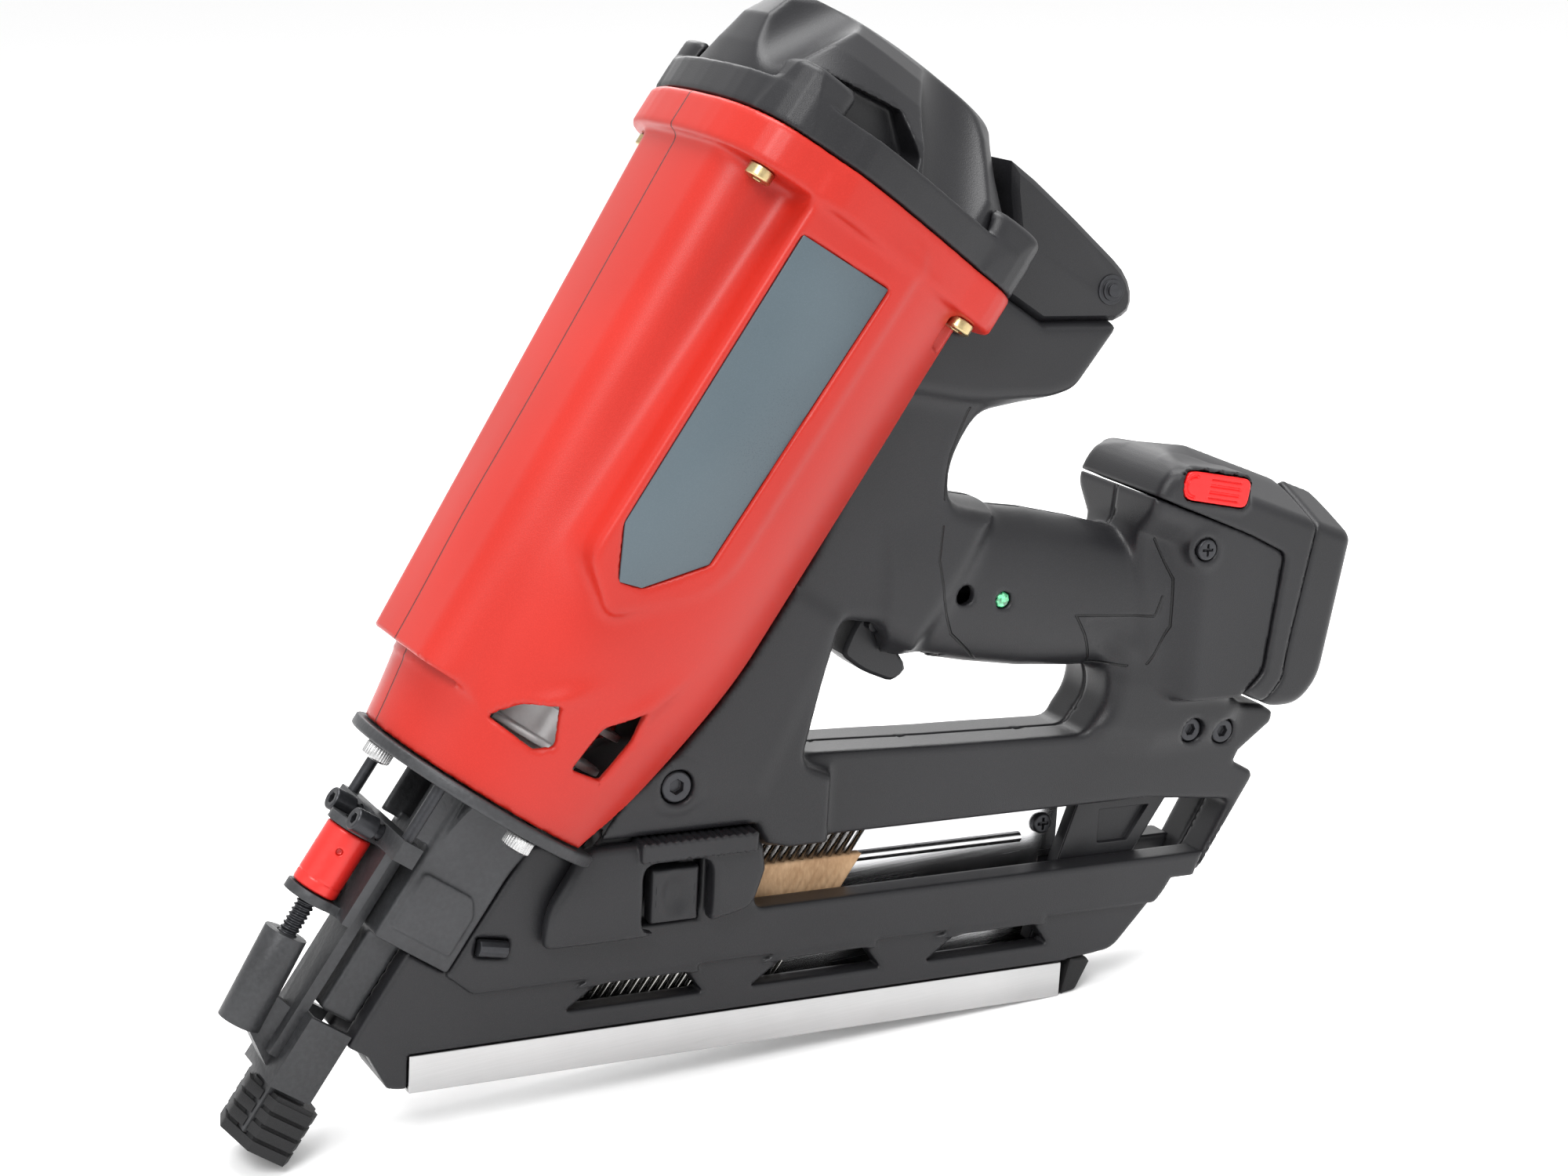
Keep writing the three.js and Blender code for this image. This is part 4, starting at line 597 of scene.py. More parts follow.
GRIP_LOW = [140, 138, 134.5, 131.5, 130, 129.6, 129.5]
GRIP_HIGH = [186, 188.5, 186.5, 184, 179.8, 175.5, 172]
GRIP_PATCH = curve([(268, 149.5, 2), (295.5, 149, 1), (299, 160, 3), (301, 131), (287, 131), (276, 137, 3)])
FRAME_SCREW, SCREW_BOSS = (47.7, 156.6), 7.4
SIDE_SCREWS = {"plate_screw_1": (316, 106.4), "plate_screw_2": (329.3, 104.7)}
HOLDER_SCREW, LENS, SCREW_HOLE = (308.6, 171.5), (236, 157.7), (221.5, 160.2)


def grip(m, y, n, inset=0.0):
    """The handle: superellipses between a lower and an upper line."""
    low, high = np.interp(m, GRIP_M, GRIP_LOW), np.interp(m, GRIP_M, GRIP_HIGH)
    section = rounded_box(n, y, (low + high) / 2, (high - low) / 2 - inset, GRIP_Y - inset, 2.4)
    return np.maximum(section, np.abs(m - 249) - 53)


def hole(m, y, n, at, half, depth, radius):
    """A screw hole sunk into the right side."""
    return np.maximum(np.hypot(m - at[0], n - at[1]) - radius, y + half - depth)


def frame_field(m, y, n):
    """Neck, grip, lower arm, beam, column and battery holder melted together, less what they make room for
    and the screw holes."""
    x, w = drive(m, n)
    neck = slab(NECK, m, y, n, 20.5, 5)
    neck = melt(neck, slab(NECK_WIDE, m, y, n, NECK_Y, 2.5), 8)
    body = melt(neck, grip(m, y, n) + 0.6 * np.clip(-inside(GRIP_PATCH, m, n) / 0.6, 0, 1), 9)
    body = melt(body, slab(LOWER, m, y, n, LOWER_Y, 3), 5)
    body = melt(body, slab(BEAM, m, y, n, BEAM_Y, 2.2), 6)
    body = melt(body, slab(COLUMN, m, y, n, COLUMN_Y, 5), 8)
    along = np.clip((m - 297) / 13, 0, 1)
    below = np.clip(((190 - n) * 0.94 - (m - 286.6) * 0.34 - 3) / 9, 0, 1)
    narrow = 8 * (1 - along ** 2 * (3 - 2 * along)) * below
    holder = both(slab(HOLDER_LONG, m, y, n, HOLDER_Y + 1.2, 4), np.abs(y) - HOLDER_Y - 1.2 + narrow, 3)
    holder = both(holder, inside(HOLDER, m, n), 0.8)
    body = melt(body, holder, 5)
    boss = np.maximum(np.abs(np.hypot(x - FRAME_SCREW[0], w - FRAME_SCREW[1]) - SCREW_BOSS) - 1.4,
                      np.abs(y) - LOWER_Y - 0.8)
    body = melt(body, np.maximum(boss, 3 - np.abs(y)), 1)
    tower = rod(m, y, n, (HOLDER_SCREW[0] - 1, -27, HOLDER_SCREW[1]),
                (HOLDER_SCREW[0] - 1, 0, HOLDER_SCREW[1]), 5.6)
    body = melt(body, np.maximum(tower, -23.6 - y), 3)
    housing = np.minimum(barrel(x, y, w, 0.5, RIM_W - 6), slab(PAD, x, y, w, BARREL_R + 0.4, 2))
    housing = np.maximum(housing, -inside(BEHIND, x - 0.5, w))
    housing = np.minimum(housing, np.maximum(np.hypot(x, y) - 51, np.abs(w - FLANGE_LOW - 1) - 3))
    top = np.maximum(inside(FLANGE, x, y) - 0.65, np.abs(w - 337) - 16.4)
    clear = np.minimum(np.minimum(housing, top), np.maximum(np.hypot(x, y) - 40.5, np.abs(w - 224) - 98))
    clear = np.minimum(clear, np.maximum(np.hypot(x - 56, y) - 14.35, 242 - w))
    nose = brick(x, y, w, (-30, -23, -1), (17.95, 23, 123))
    nose = np.minimum(nose, np.maximum(np.hypot(x, y) - 42.35, np.abs(w - 121) - 6))
    clear = np.minimum(clear, nose)
    clear = np.minimum(clear, brick(x, y, w, (79, -8.3, 214), (112, 8.3, 247)))
    clear = np.minimum(clear, np.maximum(np.hypot(x - 84, w - 231.5) - 2.35, np.abs(y) - 12))
    clear = np.minimum(clear, brick(m, y, n, (60, -CHANNEL_HALF, 58.5), (322, CHANNEL_HALF, TRACK_TOP)))
    clear = np.minimum(clear, brick(m, y, n, (303.4, -11.6, 134.4), (345, 11.6, 163.6)))
    body = carve(body, clear)
    body = carve(body, grip(m, y, n, 3) + 0.02 * np.abs(m - 249))
    sx, sw = FRAME_SCREW
    screw = np.minimum(np.maximum(np.hypot(x - sx, w - sw) - 5.6, y + LOWER_Y - 3.2),
                       np.maximum(np.hypot(x - sx, w - sw) - 2.7, y + 8))
    holes = [screw, hole(m, y, n, HOLDER_SCREW, HOLDER_Y, 6, 4), hole(m, y, n, SCREW_HOLE, GRIP_Y, 6, 3.4),
             hole(m, y, n, LENS, GRIP_Y, 6, 2.9)]
    holes += [hole(m, y, n, at, BEAM_Y, 4.5, 4.6) for at in SIDE_SCREWS.values()]
    for each in holes:
        body = carve(body, each, 0.6)
    return body


GRIP_SEAMS = [[(216.0, 221.5), (210.7, 206.4), (209.8, 192.8)],
              [(209.7, 184.2), (208.8, 173.7), (211.8, 160.8), (218.3, 147.5), (231.3, 136.7)],
              [(292.5, 174.5), (300, 161), (300.2, 144.9), (293.7, 132)],
              [(263.9, 150.7), (294.1, 148.6), (296.5, 155.1)],
              [(264, 150.7), (268.5, 143.8), (274.1, 132.7), (286.4, 131.7)]]
grip_nylon = moulded("grip_nylon", NYLON_BLACK, 0.4, 0.06, 1.9, seams=[
    in_row([(m, 0, n) for m, n in seam], magazine=True)[:, ::2] for seam in GRIP_SEAMS])
for side, name in ((-1, "right"), (1, "left")):
    def half_field(m, y, n):
        """The frame on one side of its joint."""
        return np.maximum(frame_field(m, y, n), 0.12 - side * y)

    low_y, high_y = sorted((0, side * 26))
    moulding("frame_shell_" + name, half_field, (20, low_y, 54), (354, high_y, 270), 1.3,
             grip_nylon, "frame", "black_nylon", ["frame_" + name], magazine=True)

# ---- Gas cover, its pin and the pad ----
# The fuel cell's cover swings up on a shouldered steel pin at the neck's rear corner. A soft rubber pad
# under it takes knocks.


def metal(name, colour, rough, scratch=(1, 1, 1), scale=900, depth=0.01, drift=0.12, metallic=1.0,
          spread=1.5):
    """Worked metal: noise drawn out along the grain drives gloss and height, slow noise drives the tone."""
    skin = Finish(name)
    grain = skin.noise(scale, 4, scratch)
    slow = skin.noise(25, 3)
    lighter = tuple(min(1, channel * spread) for channel in colour)
    tone = skin.shade(slow.step(0.3, 0.75) * 0.7 + grain.step(0.4, 0.7) * 0.3, colour, lighter)
    gloss = rough + (grain - 0.5) * drift * 2 + (slow - 0.5) * drift
    return skin.finish(Base_Color=tone, Roughness=gloss, Metallic=metallic, Normal=skin.bump(grain, depth))


black_steel = metal("black_steel", (0.02, 0.0205, 0.023), 0.36, depth=0.015, metallic=0.6, spread=2.0)
black_rubber = moulded("black_rubber", (0.007, 0.007, 0.0075), 0.72, 0.12, 1.8)


def rings(start, end, height, radius):
    """A grid round the line from start to end: a ring at each height, with a radius for each of its points,
    and a face from each of them to the ring above."""
    start, axis = np.array(start, float), np.array(end, float) - np.array(start, float)
    axis = axis / np.linalg.norm(axis)
    across = np.cross(axis, (0, 1, 0) if abs(axis[1]) < 0.9 else (1, 0, 0))
    across = across / np.linalg.norm(across)
    other = np.cross(axis, across)
    count, sides = radius.shape
    angle = np.linspace(0, 2 * np.pi, sides, endpoint=False)
    points = start + height[:, None, None] * axis + radius[..., None] * (
        np.cos(angle)[:, None] * across + np.sin(angle)[:, None] * other)
    i, j = np.meshgrid(np.arange(count - 1), np.arange(sides), indexing="ij")
    k = (j + 1) % sides
    faces = np.stack([i * sides + j, i * sides + k, (i + 1) * sides + k, (i + 1) * sides + j], axis=-1)
    return points.reshape(-1, 3), faces.reshape(-1, 4)


def lathe(profile, start, end, sides=48, lobes=0, depth=0.0):
    """A closed profile of (radius, height) turned about the line from start to end: each radius is also waved
    by lobes cosines round the axis, or by a hexagon's sides where lobes is 6, where the row's third value
    asks for it. Rows at radius 0 close the ends."""
    rows = np.array([(*row, 0)[:3] for row in profile], float)
    angle = np.linspace(0, 2 * np.pi, sides, endpoint=False)
    if lobes == 6:
        wave = np.cos(np.pi / 6) / np.cos((angle + np.pi / 6) % (np.pi / 3) - np.pi / 6) - 1
    else:
        wave = depth * np.cos(lobes * angle)
    return rings(start, end, rows[:, 1], rows[:, :1] * (1 + rows[:, 2:] * wave[None]))


def closed(mesh):
    """Merges a mesh's doubled corners, which closes its poles, and turns its faces outwards."""
    work = bmesh.new()
    work.from_mesh(mesh)
    bmesh.ops.remove_doubles(work, verts=work.verts, dist=0.001 * MM)
    bmesh.ops.recalc_face_normals(work, faces=work.faces)
    work.to_mesh(mesh)
    work.free()


def turned(name, profile, start, end, finish, body, slot, replaced=(), magazine=False, **wave):
    """A turned piece with its poles closed and its corners eased."""
    points, faces = lathe(profile, start, end, **wave)
    thing = piece(name, points, faces, finish, body, slot, replaced, magazine)
    closed(thing.data)
    ease = thing.modifiers.new("ease", "BEVEL")
    ease.width, ease.segments, ease.limit_method, ease.harden_normals = 0.22 * MM, 2, "ANGLE", True
    ease.angle_limit = np.radians(35)
    return thing


dressed("gas_cover", black_nylon, "gas_cover", 1.1, 3)
PIN_PROFILE = [(0, 0.3), (2.1, 0.3), (2.1, 1.3), (3.4, 1.3), (3.4, 2.1), (4.8, 2.1), (4.8, 2.9), (1.95, 2.9),
               (1.95, 42.7), (4.2, 42.7), (4.2, 43.6), (2, 43.6), (2, 44.6), (0, 44.6)]
turned("cover_pin_turned", PIN_PROFILE, (85.7, -24.6, 360), (85.7, 24.6, 360), black_steel, "frame",
       "black_steel", ["gas_cover_pin"])
dressed("rubber_pad", black_rubber, "frame", 0.5)

# ---- Screws ----
# Yellow zinc socket screws hold the cap. The frame and the beam have black socket screws, and the battery
# holder a cross-head screw.
zinc_yellow = metal("zinc_yellow", (0.42, 0.33, 0.17), 0.3, depth=0.006)
bright_steel = metal("bright_steel", (0.5, 0.5, 0.5), 0.28, (1, 1, 18), 60, 0.004, 0.1, spread=1.15)


def socket_screw(name, head, height, shank, length, start, end, finish, slot, lobes=6, magazine=False,
                 body="frame"):
    """A socket head and its shank: the socket's wall rows are waved into a hexagon."""
    deep = height * 0.62
    profile = [(0, deep), (head * 0.46, deep, 1), (head * 0.5, 0.12, 1), (head * 0.62, 0), (head * 0.9, 0),
               (head, 0.45), (head, height), (shank, height), (shank, length), (0, length)]
    turned(name + "_turned", profile, start, end, finish, body, slot, [name], magazine, lobes=lobes)


for i, (sx, sy) in enumerate(CAP_SCREWS):
    socket_screw(f"cap_screw_{i + 1}", 4.2, 3.5, 2.4, 27, (sx, sy, 317.2), (sx, sy, 344), zinc_yellow,
                 "zinc_yellow")
sx, sw = FRAME_SCREW
socket_screw("frame_screw", 5.0, 3.2, 2.2, 12, (sx, -21.4, sw), (sx, 0, sw), black_steel, "black_steel")
for name, (m, n) in SIDE_SCREWS.items():
    socket_screw(name, 4.2, 3, 1.9, 4.3, (m, -13.7, n), (m, 0, n), black_steel, "black_steel", magazine=True)


def cross_field(x, y, z):
    """A round head with a tapered cross cut in it, and a short shank."""
    head = both(np.hypot(x, z) - 3.6, np.abs(y - 1.6) - 1.6, 0.9)
    cross = np.minimum(np.abs(x) - 0.45, np.abs(z) - 0.45)
    cross = np.maximum(np.maximum(cross, np.hypot(x, z) - 2.1), y - 1.9 + 0.5 * np.hypot(x, z))
    return np.minimum(carve(head, cross, 0.1), np.maximum(np.hypot(x, z) - 1.6, np.abs(y - 3.9) - 1))


def cross_screw(name, m, y, n):
    """A cross-head screw whose head's outer face is at (m, y, n)."""
    points, faces = surface(cross_field, (-4, -0.4, -4), (4, 5.2, 4), 0.22)
    piece(name + "_driven", points + [m, y, n], faces, black_steel, "frame", "black_steel", [name],
          magazine=True)


cross_screw("holder_screw", HOLDER_SCREW[0], -24.6, HOLDER_SCREW[1])

# ---- Trigger, lens, switch and board ----
# The trigger is a hooked nylon lever on moulded trunnions, and presses a switch inside the neck.
# A clear green light pipe in the handle's side shows the charge.
dressed("trigger", black_nylon, "trigger", 1.6, 4)
lens_finish = Finish("green_lens")
glow = lens_finish.noise(500, 2)
lens_green = lens_finish.finish(Base_Color=lens_finish.shade(glow.step(0.45, 0.6), (0.01, 0.12, 0.05),
                                                             (0.15, 0.75, 0.35)),
                                Roughness=0.08, Coat_Weight=1.0)
turned("status_lens_turned", [(0, 0), (1.2, 0.12), (2.2, 0.5), (2.7, 1.3), (2.7, 5.4), (0, 5.4)],
       (LENS[0], -17.3, LENS[1]),
       (LENS[0], 0, LENS[1]), lens_green, "frame", "lens", ["status_lens"], magazine=True)

# ---- Nose ----
# A blackened cast nose with the driver's channel, screwed under the housing by bright knurled screws. In
# front of it the work contact slides: a bracket, the depth barrel on its threaded rod, and the probe.
dark_cast = metal("dark_cast", (0.02, 0.0205, 0.022), 0.46, scale=650, depth=0.12, metallic=0.35, spread=2.4)
cast_alloy = metal("cast_alloy", (0.6, 0.6, 0.6), 0.42, scale=500, depth=0.08, metallic=0.4, spread=1.3)
red_collar = metal("red_collar", (0.5, 0.014, 0.01), 0.34, scale=500, depth=0.01, metallic=0.15, spread=1.2)
NOSE_SCREWS = [(-34, -1.5), (4, -34)]
NOSE_TOP, NOSE_LOW, GUIDE_LOW = 122, 46, 73.4


def casting_field(x, y, z):
    """The disc, the channel's block flared out to it, the lower bar and the ribs, less slots, channel and
    bores."""
    disc = both(np.hypot(x, y) - 41.9, np.abs(z - NOSE_TOP - 1.9) - 1.9, 0.8)
    flare = 16 + 6 * np.clip((z - 104) / 18, 0, 1) ** 2 * (x > -8)
    block = both(np.maximum(-10.2 - x, x - 17.5),
                 np.maximum(np.abs(y) - flare, np.maximum(GUIDE_LOW - z, z - NOSE_TOP - 1)), 1.2)
    bar = both(np.maximum(-8.6 - x, x - 3.3),
               np.maximum(np.abs(y) - 8.6, np.maximum(NOSE_LOW - z, z - GUIDE_LOW - 1)), 1.6)
    ribs = np.maximum(np.maximum(-16.1 - x, x + 9),
                      np.maximum(np.abs(np.abs(y + 0.5) - 13.3) - 1.2, np.abs(z - 113.5) - 9.4))
    panel = both(slab(PANEL_CAST, x, y, z, 16.9, 0.6), 6 - np.abs(y), 0.5)
    body = melt(melt(melt(np.minimum(block, disc), bar, 1.5), ribs, 0.8), panel, 0.5)
    for middle in (-8.8, 0, 8.8):
        slot = both(np.maximum(x + 4.5, -20 - x),
                    np.maximum(np.abs(y - middle) - 2.9, np.abs(z - 113.8) - 7.4), 0.8)
        body = carve(body, slot, 0.4)
    body = carve(body, np.maximum(np.hypot(x, y) - 4.6, np.abs(z - 90) - 60))
    body = carve(body, brick(x, y, z, (0, -1.9, 20), (40, 1.9, 118)))
    for bore_x, bore_y, radius in [(-22, 24, 2.6),
                                   (-22, -24, 2.6)] + [(sx, sy, 2.3) for sx, sy in NOSE_SCREWS]:
        body = carve(body, np.maximum(np.hypot(x - bore_x, y - bore_y) - radius, 118 - z))
    return body


PANEL_CAST = curve([(-7.5, 78, 1), (-7.5, 97, 2), (11, 97, 2), (14.5, 92, 1), (14.5, 78, 1)])
moulding("nose_casting_rough", casting_field, (-43, -43, 45), (43, 43, 127), 0.8,
         dark_cast, "frame", "dark_cast", ["nose_casting"])
dressed("link_bracket", dark_cast, "contact_link", 0.7, 3)
dressed("probe_shaft", dark_cast, "probe", 0.7, 3)
for i, (sx, sy) in enumerate(NOSE_SCREWS):
    knurl = [(0, 3), (1.9, 3), (2.0, 0), (3.6, 0), (4.4, 0.5), (4.5, 0.9, 1), (4.5, 3.9, 1), (4.2, 4.5),
             (2, 4.5), (2, 8.2), (0, 8.2)]
    turned(f"nose_screw_{i + 1}_turned", knurl, (sx, sy, 117.15), (sx, sy, 140), bright_steel, "frame",
           "bright_steel", [f"nose_screw_{i + 1}"], sides=96, lobes=32, depth=0.035)
for i, sy in enumerate((-11.5, 8.5)):
    socket_screw(f"bracket_screw_{i + 1}", 3.6, 7.4, 2.3, 17, (-34.5, sy, 100.3), (0, sy, 100.3), black_steel,
                 "black_steel", body="contact_link")
RODS = {"lift_rod_right": -24, "lift_rod_left": 24}
for name, sy in RODS.items():
    turned(name + "_turned", [(0, 0), (1.9, 0), (1.9, 106.6), (0, 106.6)], (-22, sy, 100), (-22, sy, 300),
           black_steel, "contact_link", "bright_steel", [name], sides=20)


def depth_field(x, y, z):
    """A round collar with a bore, a groove round it and three blind holes for turning it."""
    body = both(np.hypot(x + 27.5, y) - 7.3, np.abs(z - 85.25) - 10.25, 0.9)
    body = carve(body, np.hypot(x + 27.4, y) - 3.6)
    body = carve(body, np.abs(z - 78.6) - 0.35 + np.abs(np.hypot(x + 27.5, y) - 7.4) * 0.7, 0.2)
    for turn in (0, 1, 2):
        angle = np.radians(-110 + 120 * turn)
        dx, dy = np.cos(angle), np.sin(angle)
        pin = np.hypot((x + 27.5) * dy - y * dx, z - 89) - 1.1
        body = carve(body, np.maximum(pin, 5.6 - (x + 27.5) * dx - y * dy), 0.3)
    return body


moulding("depth_barrel_drilled", depth_field, (-36, -8, 74), (-19, 8, 97), 0.45,
         red_collar, "depth_barrel", "red_collar", ["depth_barrel"])


def threaded_rod(start, end, radius, pitch, depth, sides=28, per_turn=12):
    """A screw thread: a grid round and along the rod, its radius drawn in by a triangle wave of height and
    turn."""
    length = np.linalg.norm(np.array(end, float) - np.array(start, float))
    height = np.linspace(0, length, int(length / pitch * per_turn))
    angle = np.linspace(0, 2 * np.pi, sides, endpoint=False)
    phase = (height[:, None] / pitch - angle[None] / (2 * np.pi)) % 1
    wave = radius - depth * np.clip(np.abs(2 * phase - 1) * 1.6 - 0.3, 0, 1)
    radii = np.vstack([np.zeros(sides), wave, np.zeros(sides)])
    return rings(start, end, np.concatenate([[0], height, [length]]), radii)


points, faces = threaded_rod((-26.9, 0, 50), (-27.5, 0, 92), 3.0, 1.5, 0.6)
thread = piece("adjuster_thread", points, faces, black_steel, "probe", "black_steel", ["adjuster_screw"])
closed(thread.data)
dressed("probe_tip", black_rubber, "probe", 0.6, 3)
dressed("cylinder", cast_alloy, "frame", 0.4)

# ---- Magazine ----
# A black nylon body with a narrower skirt, a steel liner beside the nails, a bright pressed rail under it
# and a rubber heel. A latch cover on the right side carries a finger comb and the latch button.
MAG_Y, SKIRT_Y = 15.5, 13
CAST_REAR, CAST_STEP = 17.95, 73.05
MAG_OUTLINE = curve([mag(4.1, 39.8), mag(11.9, 39.8), (34, 18.4), (38, 17.6), (40.5, 17.6), (272, 17.6),
                     (274, 28.7),
                     (292.2, 30.3, 4), (309.6, 49.4, 5), (312.6, 54.2), (321.5, 54.2), (325, SLOT_LOW, 1),
                     (154, SLOT_LOW, 3),
                     (149, TOP_LINE), (76.5, TOP_LINE), mag(CAST_REAR, CAST_STEP), mag(4.1, CAST_STEP)])
VENT_STARTS, VENT_LOW, VENT_HIGH = (90.7, 154.7, 218.7), 35.5, 44
RELEASE = (mag(21, 84)[:2], mag(31, 88.5)[:2])


def magazine_field(m, y, n):
    """The outline's slab with a narrower skirt and vent hoods, less the rail's seat, the nail channel, room
    for the nose and housing, the vents and the latch's opening."""
    x, w = drive(m, n)
    body = slab(MAG_OUTLINE, m, y, n, MAG_Y, 1.2)
    skirt_top = np.where(m < 60, 46 + (60 - m) * 0.8, 46.0)
    below = np.maximum(n - skirt_top, SKIRT_Y - np.abs(y))
    body = carve(body, below, 1.5)
    for start in VENT_STARTS:
        hood = slab(curve([(start + 3, 43.4), (start + 12, 48.5, 2), (start + 43, 48.5, 2),
                           (start + 45, 43.4)]), m, y, n, SKIRT_Y + 2.2, 1.2)
        body = melt(body, np.maximum(hood, 8 - np.abs(y)), 1.2)
    rail_seat = np.maximum(np.maximum(40.1 - m, m - 275), np.maximum(n - 28.55, 10.5 - np.abs(y)))
    body = carve(body, rail_seat)
    channel = np.minimum(brick(m, y, n, (-20, -CHANNEL_HALF, 24), (271, CHANNEL_HALF, 400)),
                         brick(m, y, n, (270, -CHANNEL_HALF, 33), (330, CHANNEL_HALF, 400)))
    body = carve(body, channel)
    nose = brick(x, y, w, (-30, -23, -1), (CAST_REAR, 23, 124))
    nose = np.where(w < CAST_STEP, brick(x, y, w, (-30, -23, -1), (3.9, 23, 124)), nose)
    nose = np.minimum(nose, brick(x, y, w, (-30, -23, -1), (11.4, 23, 39.6)))
    nose = np.minimum(nose, np.maximum(np.hypot(x, y) - 42.35, np.abs(w - 123) - 2))
    body = carve(body, np.minimum(nose, barrel(x, y, w, 0.5, RIM_W - 3)))
    body = carve(body, rod(m, y, n, (RELEASE[0][0], -MAG_Y, RELEASE[0][1]),
                           (RELEASE[1][0], -MAG_Y, RELEASE[1][1]), 3.4), 0.5)
    body = carve(body, brick(m, y, n, (113, -400, 62), (134, -10.5, 83)))
    for start in VENT_STARTS:
        vent = curve([(start, VENT_LOW, 1), (start + 47.5, VENT_LOW, 1), (start + 41, VENT_HIGH, 2),
                      (start + 12, VENT_HIGH, 2)])
        body = carve(body, slab(vent, m, y, n, 60), 0.8)
    return body


moulding("magazine_shell", magazine_field, (15, -18, 16), (327, 18, 100), 1.15,
         black_nylon, "frame", "black_nylon", ["magazine_body"], magazine=True)

brushed_rail = metal("brushed_rail", (0.4, 0.4, 0.4), 0.33, (0.4, 8, 60), 90, 0.012, 0.1, spread=1.25)
dressed("skid_rail", brushed_rail, "frame", 0.35)
dressed("magazine_foot", black_rubber, "frame", 0.4)
dressed("release_pin", black_steel, "frame", 0.3)

LATCH = curve([(79.9, 59.4, 3), (80.5, 71.8, 6), (92.4, 90.8, 4), (149, 90, 3), (153, 85.3), (153.8, 77.8),
               (149.3, 65.5, 4), (120, 60.5, 5)])
WELL = curve([(111, 61.5, 5), (111, 84, 5), (135, 84, 5), (135, 61.5, 5)])


def latch_field(m, y, n):
    """The latch's outline under a shallow crown, with a toothed finger comb, less the button's well."""
    crown = 24 - 0.006 * (n - 72) ** 2 - 0.0014 * (m - 118) ** 2
    body = both(inside(LATCH, m, n), np.abs(y + 15.85 + (crown - 15.85) / 2) - (crown - 15.85) / 2, 2.6)
    comb = np.maximum(np.abs(m - 129) - 20, 84.5 - n)
    teeth = 0.9 * np.abs(np.sin((m - 109) * np.pi / 2.7)) - 0.9
    body = melt(body, np.maximum(both(comb, np.abs(n - 88.5) - 3.4, 1) - teeth, np.abs(y + 20.5) - 4.6), 0.8)
    body = carve(body, slab(WELL, m, y, n, 60), 2.2)
    return np.maximum(body, y + 15.85)


moulding("latch_cover_shell", latch_field, (78, -26, 58), (156, -15, 94), 0.8,
         black_nylon, "frame", "black_nylon", ["latch_cover"], magazine=True)


def button_field(m, y, n):
    """A rounded block with an oval dimple."""
    body = both(np.maximum(np.abs(m - 123) - 8, np.abs(n - 72.5) - 8.7), np.abs(y + 17.55) - 2.95, 1.2)
    return carve(body, np.sqrt((m - 123) ** 2 + (y + 27) ** 2 + (n - 72.5) ** 2 * 0.5) - 8.2, 1)


moulding("latch_button_pressed", button_field, (114, -21, 63), (132, -14, 82), 0.5,
         black_nylon, "latch_button", "black_nylon", ["latch_button"], magazine=True)

# ---- Liner, nails and pusher ----
# A pressed bright liner with a rolled bead, paper-taped nails leaning with the drive axis, and the ribbed
# pusher behind them.
liner_steel = metal("liner_steel", (0.6, 0.6, 0.61), 0.24, (0.3, 6, 30), 80, 0.01, 0.1, spread=1.2)
dressed("magazine_liner", liner_steel, "frame", 0.15)
BEAD = curve([(0, -1.9), (1.2, -1.5), (2.0, -0.6), (2.0, 0.6), (1.2, 1.5), (0, 1.9)], 3)
bead_line = np.array([150.0, 262.0])
around = np.array([[m, 4.0 - a, 68.5 + b] for m in bead_line for a, b in BEAD])
count = len(BEAD)
bead_faces = [[j, (j + 1) % count, count + (j + 1) % count, count + j] for j in range(count)]
piece("liner_bead", around, bead_faces, liner_steel, "frame", "bright_steel", magazine=True)

NAIL_LEAN, STRIP_REAR, NAIL_LOW, NAIL_TOP, NAIL_PITCH, NAIL_COUNT = np.tan(RISE), 212, 29, 90.5, 3.4, 34
nail_steel = metal("nail_steel", (0.5, 0.49, 0.47), 0.22, depth=0.004)
NAIL_SIDES = 12
angle = np.linspace(0, 2 * np.pi, NAIL_SIDES, endpoint=False)
starts = STRIP_REAR - 6 - NAIL_PITCH * np.arange(NAIL_COUNT)
levels = np.array([NAIL_LOW, NAIL_LOW + 5, NAIL_TOP - 1.5, NAIL_TOP - 1.4, NAIL_TOP])
widths = np.array([0.05, 1.4, 1.4, 2.6, 2.6])
grid = NAIL_COUNT, len(levels), NAIL_SIDES
lean = (levels[None, :, None] - NAIL_TOP) * NAIL_LEAN
nail_points = np.stack([
    starts[:, None, None] + lean + widths[None, :, None] * np.cos(angle) * 0.62,
    np.broadcast_to(-0.5 + widths[None, :, None] * np.sin(angle), grid),
    np.broadcast_to(levels[None, :, None], grid)], axis=-1).reshape(-1, 3)
s, i, j = np.meshgrid(np.arange(NAIL_COUNT), np.arange(len(levels) - 1), np.arange(NAIL_SIDES), indexing="ij")
base, beside = (s * len(levels) + i) * NAIL_SIDES, (j + 1) % NAIL_SIDES
nail_faces = np.stack([base + j, base + beside, base + NAIL_SIDES + beside, base + NAIL_SIDES + j], axis=-1)
nail_faces = nail_faces.reshape(-1, 4)
piece("nails", nail_points, nail_faces, nail_steel, "frame", "nail_paper", magazine=True)

